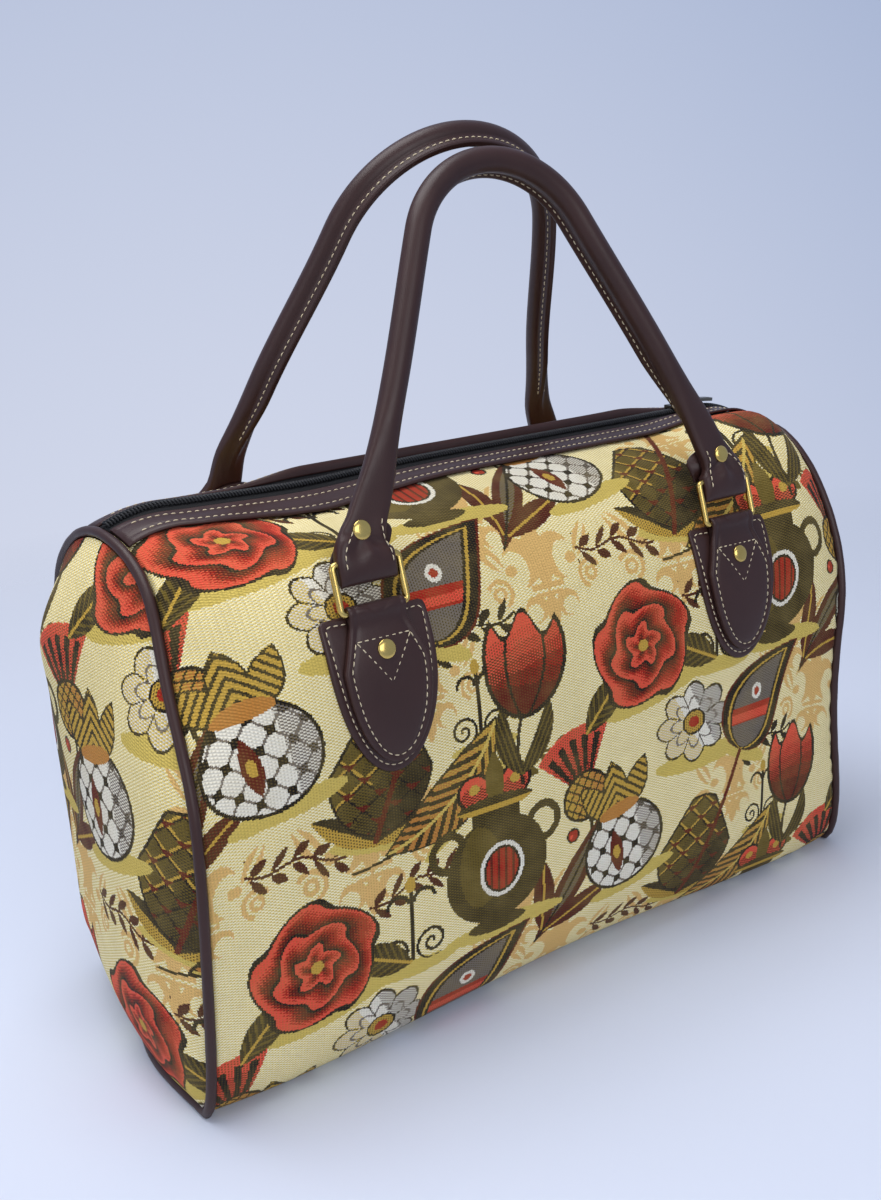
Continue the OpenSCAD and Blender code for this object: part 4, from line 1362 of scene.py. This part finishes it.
def resampled(line, count):
    """A closed line of two coordinates as evenly spaced points."""
    closed = np.concatenate([line, line[:1]])
    run = run_lengths(closed)
    return at_lengths(np.linspace(0, run[-1], count, endpoint=False), run, closed)


def shield(width, tip, tip_length, side_top, top_width, top, corner):
    """Outline with an oval tip, sides that run to a narrower top, and rounded top corners."""
    turn = np.linspace(-math.pi, 0, 60)
    line = [[width / 2 * math.cos(a), tip + tip_length * (1 + math.sin(a))] for a in turn]
    line.append([top_width / 2, side_top])
    for side, first in ((1, 0.0), (-1, math.pi / 2)):
        for a in np.linspace(first, first + math.pi / 2, 6):
            x = side * (top_width / 2 - corner) + corner * math.cos(a)
            line.append([x, top - corner + corner * math.sin(a)])
    line.append([-top_width / 2, side_top])
    return resampled(np.array(line), PAD_SIDES)


PATCH_TIP = FOLD_HEIGHT - PATCH_LENGTH
TAB_START = LAYER_GAP + PATCH_THICKNESS + LAYER_GAP
LOOP_RADIUS = WIRE_RADIUS + TURNING_GAP + TAB_THICKNESS / 2
TAB_TIP = PATCH_TIP + (PATCH_WIDTH - TAB_WIDTH) / 2
LOOP_RISE = 9 * MM
TRIANGLE_DROP = 23 * MM
FACE_STEPS = 40
# How far a patch's sides end below its top and a tab's above its face, with the radius of their corners
PATCH_SIDE_DROP = 4 * MM
PATCH_CORNER = 3 * MM
TAB_SIDE_RISE = 6 * MM
TAB_CORNER = 1 * MM
TAB_CROWN = 0.1
# Points closer than this become one
MERGE = 0.01 * MM


def patch_place(x, l, height, thickness):
    h = np.full(len(x), LAYER_GAP + thickness * height)
    at, _ = outside(l, h)
    return np.stack([x, -at[:, 0], at[:, 1]], 1)


def tab_profile():
    """Outer face of a tab, from its tip up and over the ring's lower bar: lengths, points and directions."""
    (axis,), _ = outside(np.array([FOLD_HEIGHT]), np.array([TAB_START + LOOP_RADIUS]))
    z = np.linspace(TAB_TIP, FOLD_HEIGHT - LOOP_RISE, FACE_STEPS)
    face, _ = outside(z, np.full(len(z), TAB_START + TAB_THICKNESS))
    a = np.radians(np.linspace(-12, 205, 28))
    loop = axis + LOOP_RADIUS * np.stack([np.cos(a), np.sin(a)], 1)
    first, last = face[-1], loop[0]
    lead = unit(face[-1] - face[-2])
    into = unit(loop[1] - loop[0])
    span = np.linalg.norm(last - first) * 0.4
    t = np.linspace(0, 1, 14)[1:-1, None]
    bend = ((1 - t) ** 3 * first + 3 * (1 - t) ** 2 * t * (first + lead * span)
            + 3 * (1 - t) * t * t * (last - into * span) + t ** 3 * last)
    line = np.concatenate([face, bend, loop])
    t = unit(np.gradient(line, axis=0))
    return run_lengths(line), line, np.stack([t[:, 1], -t[:, 0]], 1)


PROFILE_RUN, PROFILE_LINE, PROFILE_OUT = tab_profile()
FACE_RUN = float(np.interp(FOLD_HEIGHT - LOOP_RISE, PROFILE_LINE[:FACE_STEPS, 1], PROFILE_RUN[:FACE_STEPS]))
PROFILE_END = PROFILE_RUN[-1]


def on_profile(l):
    return at_lengths(l, PROFILE_RUN, PROFILE_LINE), unit(at_lengths(l, PROFILE_RUN, PROFILE_OUT))


def tab_place(x, l, height, thickness):
    line, out = on_profile(l)
    thin = thickness * (1 - 0.5 * smooth((l - FACE_RUN) / LOOP_RISE))
    at = line + out * ((height - 1.0) * thin)[:, None]
    return np.stack([x, -at[:, 0], at[:, 1]], 1)


def surface_row(line, place, thickness, height):
    """A line of flat points on a pad, with the directions that stand on it."""
    points = place(line[:, 0], line[:, 1], height, thickness)
    raised = place(line[:, 0], line[:, 1], height + 1.0, thickness)
    return points, unit(raised - points)


def inset_line(outline, spine, inset):
    return pad_rings(outline, spine, [inset], [])[0]


# Height of the stitches, as shares of a pad's thickness, and how far below the fold a tab's rows end
STITCH_HEIGHT = 0.84
TAB_STITCH_HEIGHT = 0.86
TRIANGLE_HEIGHT = 1.05
ROW_DROP = 1 * MM


def straight(first, second, count=12):
    t = np.linspace(0, 1, count)[:, None]
    return np.asarray(first) * (1 - t) + np.asarray(second) * t


def make_tabs():
    patch_outline = shield(PATCH_WIDTH, PATCH_TIP, PATCH_TIP_LENGTH, FOLD_HEIGHT - PATCH_SIDE_DROP,
                           PATCH_WIDTH, FOLD_HEIGHT, PATCH_CORNER)
    patch_spine = (PATCH_TIP + PATCH_WIDTH / 2, FOLD_HEIGHT - PATCH_WIDTH / 2)
    tab_outline = shield(TAB_WIDTH, 0.0, TAB_TIP_LENGTH, FACE_RUN + TAB_SIDE_RISE,
                         FOLD_WIDTH, PROFILE_END, TAB_CORNER)
    tab_spine = (TAB_WIDTH / 2, PROFILE_END - FOLD_WIDTH / 2)
    patch_points, patch_faces = pad(patch_outline, patch_spine, PATCH_THICKNESS, 0.0, patch_place)
    tab_points, tab_faces = pad(tab_outline, tab_spine, TAB_THICKNESS, TAB_CROWN, tab_place)

    parts = []
    line = inset_line(patch_outline, patch_spine, STITCH_INSET)
    closed = np.concatenate([line, line[:1]])
    parts += stitch_row(*surface_row(closed, patch_place, PATCH_THICKNESS, STITCH_HEIGHT))
    line = inset_line(tab_outline, tab_spine, STITCH_INSET)
    top = FACE_RUN - ROW_DROP
    sides = opened(line[line[:, 1] <= top])
    parts += stitch_row(*surface_row(sides, tab_place, TAB_THICKNESS, TAB_STITCH_HEIGHT))
    left, right = sides[0], sides[-1]
    point = np.array([0.0, top - TRIANGLE_DROP])
    for first, second in ((left, right), (left, point), (point, right)):
        parts += stitch_row(*surface_row(straight(first, second), tab_place, TAB_THICKNESS, TRIANGLE_HEIGHT))
    stitch_points, stitch_faces = joined(parts)

    for name, turn in (("front", False), ("back", True)):
        for side_name, side in (("left", -1), ("right", 1)):
            shift = np.array([side * TAB_PLACE, 0.0, 0.0])

            def placed(points):
                return shift + (half_turn(points) if turn else points)

            label = f"{name}_{side_name}"
            piece(f"{label}_patch_trim", placed(patch_points), patch_faces, TRIM, "bag", "trim",
                  [f"{label}_patch"], merge=MERGE)
            piece(f"{label}_tab_trim", placed(tab_points), tab_faces, TRIM, "bag", "trim",
                  [f"{label}_tab"], merge=MERGE)
            piece(f"{label}_tab_stitches", placed(stitch_points), stitch_faces, THREAD_CREAM, "bag")


# Handles

def half_handle(rise, bend, sag):
    """Middle line of half a handle: x, height and turn."""
    d = (SHOULDER_BEND - TAB_PLACE, rise - bend - START_LENGTH)
    turn = math.atan2(d[1], d[0]) - math.acos((SHOULDER_BEND - bend) / math.hypot(*d))
    low = np.array([TAB_PLACE - SHOULDER_BEND, START_LENGTH])
    high = np.array([0.0, rise - bend])
    way = np.array([math.cos(turn), math.sin(turn)])
    a, b = low + SHOULDER_BEND * way, high + bend * way
    loop = np.linspace(0.04, math.pi / 2, 12)[:-1]
    line = [[TAB_PLACE, -(BAR_RADIUS + sag) * math.cos(t), 0.0] for t in loop]
    line += [[TAB_PLACE, h, 0.0] for h in np.linspace(0, START_LENGTH, 4)[:-1]]
    line += [[low[0] + SHOULDER_BEND * math.cos(t), low[1] + SHOULDER_BEND * math.sin(t), t]
             for t in np.linspace(0, turn, 16)]
    line += [[*(a + (b - a) * t), turn] for t in np.linspace(0, 1, 30)[1:]]
    line += [[high[0] + bend * math.cos(t), high[1] + bend * math.sin(t), t]
             for t in np.linspace(turn, math.pi / 2, 30)[1:]]
    return np.array(line)


def handle_line(rise, bend, sway, sag):
    half = half_handle(rise, bend, sag)
    other = half[::-1][1:] * [-1, 1, 1]
    other[:, 2] = math.pi - other[:, 2]
    line = np.concatenate([half, other])
    h = line[:, 1]
    line[:, 0] += sway * smooth((h - SWAY_START) / SWAY_REACH) * smooth((SWAY_END - h) / SWAY_FADE)
    return line


ROUND_POINTS = 44
WELT_POINTS = ((0.35, -1.25), (1.6, -1.0), (3.6, -0.92), (4.75, -0.75), (5.2, -0.35), (4.7, 0.0), (5.2, 0.35),
               (4.75, 0.75), (3.6, 0.92), (1.6, 1.0), (0.35, 1.25))


def welted_section():
    """Round section with a welt along the first axis."""
    a = np.linspace(math.radians(26), math.tau - math.radians(26), ROUND_POINTS)
    circle = HANDLE_RADIUS * np.stack([np.cos(a), np.sin(a)], 1)
    welt = np.array([[HANDLE_RADIUS + f * MM, g * WELT_HALF] for f, g in WELT_POINTS])
    return np.concatenate([circle, welt])


WELT_STITCH = 1.6
WELT_START_SHARE = 0.3
FLAT_POWER = 4.0
# Start and reach, in millimetres above the ring bar, of the stretch over which the loop thins to the strap
LOOP_FADE = (1, 9)


def half_thickness(h, sag):
    """Half the thickness of a handle's flat end at a height above the ring's upper bar."""
    share = min(h, 0.0) / (BAR_RADIUS + sag)
    loop = BAR_RADIUS * math.sqrt(max(1e-4, 1 - share * share))
    return loop + (END_THICKNESS / 2 - BAR_RADIUS) * float(ramp(h, *LOOP_FADE))


def half_width(h):
    """Half the width of a handle's flat end at a height above the ring's upper bar."""
    flare = (END_WIDTH - NECK_WIDTH) / 2 * (1 - smooth(h / END_FLARE_LENGTH))
    neck = (NECK_WIDTH / 2 - HANDLE_RADIUS) * (1 - smooth(h / NECK_LENGTH))
    return HANDLE_RADIUS + neck + flare


def handle_section(base, share, h, turn, sag):
    """Section across a handle, from points of its round section: wide and flat at the rings, round above."""
    c, s = math.cos(turn), math.sin(turn)
    base = np.stack([-base[:, 0] * s - base[:, 1] * c, base[:, 0] * c - base[:, 1] * s], 1)
    angle = np.arctan2(base[:, 1] / HANDLE_RADIUS, base[:, 0] / HANDLE_RADIUS)
    c, s = np.cos(angle), np.sin(angle)
    reach = (np.abs(c) ** FLAT_POWER + np.abs(s) ** FLAT_POWER) ** (-1 / FLAT_POWER)
    flat = np.stack([half_width(h) * reach * c, half_thickness(h, sag) * reach * s], 1)
    return flat * (1 - share) + base * share


def handle_frame(name):
    """Turns points of a handle standing on its ring bar into the bag's frame."""
    lean = HANDLES[name][2]
    (axis,), _ = outside(np.array([FOLD_HEIGHT]), np.array([TAB_START + LOOP_RADIUS]))

    def place(points):
        p = np.asarray(points, dtype=float)
        z = p[..., 2] + RING_HEIGHT
        y = p[..., 1]
        made = np.stack([p[..., 0], y * math.cos(lean) + z * math.sin(lean) - axis[0],
                         -y * math.sin(lean) + z * math.cos(lean) + axis[1]], -1)
        return half_turn(made) if name == "back" else made

    return place


def swept(line, sections):
    """Sections set across a handle's middle line."""
    c, s = np.cos(line[:, 2])[:, None], np.sin(line[:, 2])[:, None]
    across, thick = sections[..., 0], sections[..., 1]
    return np.stack([line[:, 0:1] + across * c, thick, line[:, 1:2] + across * s], -1)


CREASE = 1.1 * MM
PINCH = 0.6 * MM
CREASE_COUNT = 5
CREASE_TURN = 0.6
# Middle or start, and reach, in millimetres from the rivet
CREASE_RING = (10, 6)
CREASE_DROP = (-4, 8)
PINCH_RING = (0, 6)


def creased(points):
    """Adds the folds that run from a handle's rivet down to its ring, and the pinch round the rivet."""
    across = np.abs(points[..., 0]) - TAB_PLACE
    drop = HANDLE_RIVET_HEIGHT - points[..., 2]
    reach = np.hypot(across, drop)
    angle = np.arctan2(across, drop)
    fold = np.cos(CREASE_COUNT * angle + CREASE_TURN) * bell(reach, *CREASE_RING)
    lift = CREASE * fold * ramp(drop, *CREASE_DROP) - PINCH * bell(reach, *PINCH_RING)
    side = np.clip(points[..., 1] / (END_THICKNESS / 2), -1, 1)
    moved = points.copy()
    moved[..., 1] += side * lift
    return moved


# Rows of stitches along the edges of a handle's flat ends
EDGE_ROW_START = -4 * MM
EDGE_ROW_END = END_LENGTH - 6 * MM
EDGE_ROW_INSET = 3.2 * MM
EDGE_ROW_POINTS = 16
EDGE_ROW_SINK = 0.98


def make_handle(name):
    rise, bend, _, turn, sway, sag = HANDLES[name]
    place = handle_frame(name)
    line = handle_line(rise, bend, sway, sag)
    shares = smooth((line[:, 1] - END_LENGTH) / END_TAPER)
    base = welted_section()
    sections = np.stack([handle_section(base, w, h, turn, sag) for w, h in zip(shares, line[:, 1])])
    points, faces = loft(place(creased(swept(line, sections))))
    piece(f"{name}_handle_trim", points, faces, TRIM, f"{name}_handle", "trim", [f"{name}_handle"])

    parts = []
    sewn = shares > WELT_START_SHARE
    for side in (-1, 1):
        foot = np.array([HANDLE_RADIUS + WELT_STITCH * MM, side * WELT_HALF])
        ends = np.stack([foot, foot + [0, side * MM]])
        rows = np.stack([handle_section(ends, w, h, turn, sag) for w, h in zip(shares[sewn], line[sewn, 1])])
        placed = place(swept(line[sewn], rows))
        parts += stitch_row(placed[:, 0], unit(placed[:, 1] - placed[:, 0]))
    flaps = []
    for x in (-TAB_PLACE, TAB_PLACE):
        for side in (-1, 1):
            h = np.linspace(EDGE_ROW_START, EDGE_ROW_END, EDGE_ROW_POINTS)
            leg = line[(line[:, 0] * x > 0) & (line[:, 1] < END_LENGTH)]
            leg = leg[np.argsort(leg[:, 1])]
            edge = np.interp(h, leg[:, 1], leg[:, 0]) + side * (half_width(h) - EDGE_ROW_INSET)
            thick = np.array([-half_thickness(v, sag) for v in h])
            low = place(creased(np.stack([edge, thick * EDGE_ROW_SINK, h], 1)))
            high = place(creased(np.stack([edge, thick - MM, h], 1)))
            parts += stitch_row(low, unit(high - low))
        form, row = flap(x, place)
        flaps.append(form)
        parts += row
    points, faces = joined(flaps)
    piece(f"{name}_handle_flaps", points, faces, TRIM, f"{name}_handle", "trim", merge=MERGE)
    points, faces = joined(parts)
    piece(f"{name}_handle_stitches", points, faces, THREAD_CREAM, f"{name}_handle")


FLAP_SIDE_START = 6 * MM
FLAP_START = 1 * MM
FLAP_SPINE_START = 4 * MM
FLAP_GAP = 0.2 * MM
FLAP_STAND_OUT = 1.5 * MM
STAND_OUT_REACH = 8 * MM
SHIFT_REACH = 15 * MM
FLAP_ROW_START = 7 * MM


def flap(x, place):
    """End of the handle's strap, folded up behind the ring bar: its points and faces, and its stitches."""
    outline = shield(FLAP_WIDTH, -FLAP_HEIGHT, FLAP_TIP_LENGTH, -FLAP_SIDE_START, END_WIDTH, -FLAP_START,
                     TAB_CORNER) * [1, -1]
    spine = (FLAP_SPINE_START, FLAP_HEIGHT - FLAP_TIP_LENGTH)

    def behind(u, l, height, thickness):
        base = END_THICKNESS / 2 + FLAP_GAP + FLAP_STAND_OUT * (1 - smooth(l / STAND_OUT_REACH))
        shift = -math.copysign(FLAP_SHIFT, x) * smooth(l / SHIFT_REACH)
        return place(np.stack([x + u + shift, base + thickness * height + 0 * u, l], 1))

    form = pad(outline, spine, FLAP_THICKNESS, 0.0, behind)
    line = inset_line(outline, spine, STITCH_INSET)
    row = opened(line[line[:, 1] > FLAP_ROW_START])
    return form, stitch_row(*surface_row(row, behind, FLAP_THICKNESS, STITCH_HEIGHT))


# Rivets

CAP_RADIUS = 4.9 * MM
CAP_RISE = 1.7 * MM
CAP_SINK = 0.3 * MM
SHANK_RADIUS = 1.5 * MM
SHANK_LENGTH = 3 * MM
RIVET_SIDES = 40
TAB_RIVET_HEIGHT = FOLD_HEIGHT - 18 * MM
# Height of a padded tab's face under its rivet, as a share of the tab's thickness
TAB_RIVET_SEAT = 1.16
# Shares of the cap's radius and rise, from its rim to its middle
CAP_FORM = ((0.96, -0.18), (1.0, -0.1), (1.0, 0.28), (0.985, 0.4), (0.95, 0.5), (0.86, 0.66), (0.7, 0.83),
            (0.5, 0.94), (0.25, 0.99), (0.01, 1.0))


def rivet_form():
    """A shallow domed cap on a shank, along Z, its rim on the surface."""
    profile = [(SHANK_RADIUS, -SHANK_LENGTH), (SHANK_RADIUS, -CAP_SINK)]
    profile += [(r * CAP_RADIUS, h * CAP_RISE) for r, h in CAP_FORM]
    a = np.arange(RIVET_SIDES) * math.tau / RIVET_SIDES
    rings = [np.stack([r * np.cos(a), r * np.sin(a), np.full(RIVET_SIDES, h)], 1) for r, h in profile]
    return loft(np.stack(rings))


def make_rivets():
    form, faces = rivet_form()
    surface = TAB_START + TAB_THICKNESS * TAB_RIVET_SEAT
    (foot,), (out,) = outside(np.array([TAB_RIVET_HEIGHT]), np.array([surface]))
    axis = np.array([0.0, -out[0], out[1]])
    up = np.array([0.0, out[1], out[0]])
    on_tab = [0.0, -foot[0], foot[1]] + form @ np.stack([[1.0, 0.0, 0.0], up, axis])
    on_handle = np.stack([form[:, 0], -form[:, 2], form[:, 1]], 1)
    on_handle += [0.0, PINCH - END_THICKNESS / 2, HANDLE_RIVET_HEIGHT]
    for name in HANDLES:
        tab = half_turn(on_tab) if name == "back" else on_tab
        pairs = [(tab + [x, 0.0, 0.0], faces) for x in (-TAB_PLACE, TAB_PLACE)]
        piece(f"{name}_tab_rivet_caps", *joined(pairs), BRASS, "bag", "brass", [f"{name}_tab_rivets"])
        place = handle_frame(name)
        pairs = [(place(on_handle + [x, 0.0, 0.0]), faces) for x in (-TAB_PLACE, TAB_PLACE)]
        piece(f"{name}_handle_rivet_caps", *joined(pairs), BRASS, f"{name}_handle", "brass",
              [f"{name}_handle_rivets"])


# Rings, slider, pull and board, which stay as they are packed

def finish_nodes():
    finishes = {"base_board": BOARD, "zip_slider": GUNMETAL, "zip_pull": GUNMETAL}
    for side in ("front", "back"):
        finishes[f"{side}_left_ring"] = BRASS
        finishes[f"{side}_right_ring"] = BRASS
    for name, material in finishes.items():
        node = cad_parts[name]
        node.data.materials.clear()
        node.data.materials.append(material)
        node.data.polygons.foreach_set("use_smooth", [True] * len(node.data.polygons))


# Stage

CAMERA_PLACE = Vector((-0.41909, -0.61083, 0.4325))
CAMERA_AZIMUTH = math.radians(-33.0)
CAMERA_ELEVATION = math.radians(17.18)
CAMERA_ROLL = math.radians(-3.35)
CAMERA_LENS = 39.0
CAMERA_SENSOR = 36.0


def make_camera():
    a, e, r = CAMERA_AZIMUTH, CAMERA_ELEVATION, CAMERA_ROLL
    back = Vector((math.sin(a) * math.cos(e), -math.cos(a) * math.cos(e), math.sin(e)))
    right = Vector((0, 0, 1)).cross(back).normalized()
    up = back.cross(right)
    turned_right = right * math.cos(r) + up * math.sin(r)
    turned_up = up * math.cos(r) - right * math.sin(r)
    data = bpy.data.cameras.new("camera")
    data.lens = CAMERA_LENS
    data.sensor_width = CAMERA_SENSOR
    camera = bpy.data.objects.new("camera", data)
    turn = Matrix((turned_right, turned_up, back)).transposed().to_4x4()
    camera.matrix_world = Matrix.Translation(CAMERA_PLACE) @ turn
    bpy.context.scene.collection.objects.link(camera)
    bpy.context.scene.camera = camera


FLOOR_RADIUS = 1.25
FLOOR_FADE = 0.4
FLOOR_SIDES = 96
FLOOR_COLOUR = (214, 222, 242)
SKY_LOW = (217, 222, 239)
SKY_HIGH = (166, 180, 210)
# Share of the darker sky colour: level, rise with height and its square, rise to the right and its square
SKY_SHARES = (0.47, 1.23, 0.86, 0.53, 1.3)
SKY_RIGHT = (0.839, -0.545)


def make_floor():
    """A pale floor that fades into the background."""
    turn = np.linspace(0, math.tau, FLOOR_SIDES, endpoint=False)
    points = [(FLOOR_RADIUS * math.cos(t), FLOOR_RADIUS * math.sin(t), 0.0) for t in turn]
    mesh = bpy.data.meshes.new("floor")
    mesh.from_pydata(points, [], [tuple(range(len(points)))])
    floor = bpy.data.objects.new("floor", mesh)
    bpy.context.scene.collection.objects.link(floor)
    made, tree, shader = shader_material("floor", 0.7, specular=0.2)
    shader.inputs["Base Color"].default_value = linear(FLOOR_COLOUR)
    x, y, _ = coordinates(tree, "ShaderNodeTexCoord", "Object")
    width = FLOOR_RADIUS - FLOOR_FADE
    fade = distance(x, y).times_plus(-1 / width, FLOOR_RADIUS / width)
    fade = fade.low(1.0).high(0.0)
    clear = tree.nodes.new("ShaderNodeBsdfTransparent")
    mix = tree.nodes.new("ShaderNodeMixShader")
    out = tree.nodes["Material Output"]
    tree.links.new(fade.socket, mix.inputs["Fac"])
    tree.links.new(clear.outputs["BSDF"], mix.inputs[1])
    tree.links.new(shader.outputs["BSDF"], mix.inputs[2])
    tree.links.new(mix.outputs["Shader"], out.inputs["Surface"])
    mesh.materials.append(made)


AMBIENT = (226, 232, 246)
AMBIENT_STRENGTH = 0.34


def make_world():
    """Soft ambient light; the camera and reflections see a pale blue-grey background."""
    world = bpy.data.worlds.new("world")
    world.use_nodes = True
    tree = world.node_tree
    tree.nodes.clear()
    x, y, z = coordinates(tree, "ShaderNodeTexCoord", "Generated")
    level, rise, rise_square, turn, turn_square = SKY_SHARES
    right = x.times_plus(SKY_RIGHT[0], y * SKY_RIGHT[1])
    share = z * z.times_plus(rise_square, rise) + right * right.times_plus(turn_square, turn) + level
    share = share.low(1.0).high(0.0)
    seen = tree.nodes.new("ShaderNodeBackground")
    tree.links.new(blended(tree, share, SKY_LOW, SKY_HIGH), seen.inputs["Color"])
    light = tree.nodes.new("ShaderNodeBackground")
    light.inputs["Color"].default_value = linear(AMBIENT)
    light.inputs["Strength"].default_value = AMBIENT_STRENGTH
    path = tree.nodes.new("ShaderNodeLightPath")
    rays = Num(tree, path.outputs["Is Camera Ray"]).high(Num(tree, path.outputs["Is Glossy Ray"]))
    rays = rays.high(Num(tree, path.outputs["Is Transmission Ray"]))
    mix = tree.nodes.new("ShaderNodeMixShader")
    out = tree.nodes.new("ShaderNodeOutputWorld")
    tree.links.new(rays.socket, mix.inputs["Fac"])
    tree.links.new(light.outputs["Background"], mix.inputs[1])
    tree.links.new(seen.outputs["Background"], mix.inputs[2])
    tree.links.new(mix.outputs["Shader"], out.inputs["Surface"])
    bpy.context.scene.world = world


# Place, aim, width, height and power of each lamp
LAMPS = {
    "key": ((-0.4, 0.2, 1.9), (0.0, 0.0, 0.15), 1.4, 1.4, 28.0),
    "front_fill": ((-0.3, -2.2, 1.3), (0.0, 0.0, 0.25), 1.6, 1.2, 19.0),
    "left_fill": ((-2.2, -0.2, 1.0), (0.0, 0.0, 0.2), 1.2, 1.2, 6.0),
}


def make_lamps():
    for name, (place, aim, width, height, power) in LAMPS.items():
        data = bpy.data.lights.new(name, "AREA")
        data.shape = "RECTANGLE"
        data.size = width
        data.size_y = height
        data.energy = power
        lamp = bpy.data.objects.new(name, data)
        lamp.location = place
        lamp.rotation_euler = (Vector(place) - Vector(aim)).to_track_quat("Z", "Y").to_euler()
        bpy.context.scene.collection.objects.link(lamp)


bpy.context.scene.view_settings.view_transform = "Standard"
make_camera()
make_world()
make_floor()
make_lamps()
make_cloth()
make_lining()
for side_name, side_sign in (("left", -1), ("right", 1)):
    make_piping(f"piping_{side_name}", side_sign)
    make_end_panel(f"cloth_{side_name}_end", side_sign)
    make_end_lining(f"lining_{side_name}_end", side_sign)
make_bands()
make_tapes()
make_coils()
make_tabs()
for handle_name in HANDLES:
    make_handle(handle_name)
make_rivets()
finish_nodes()
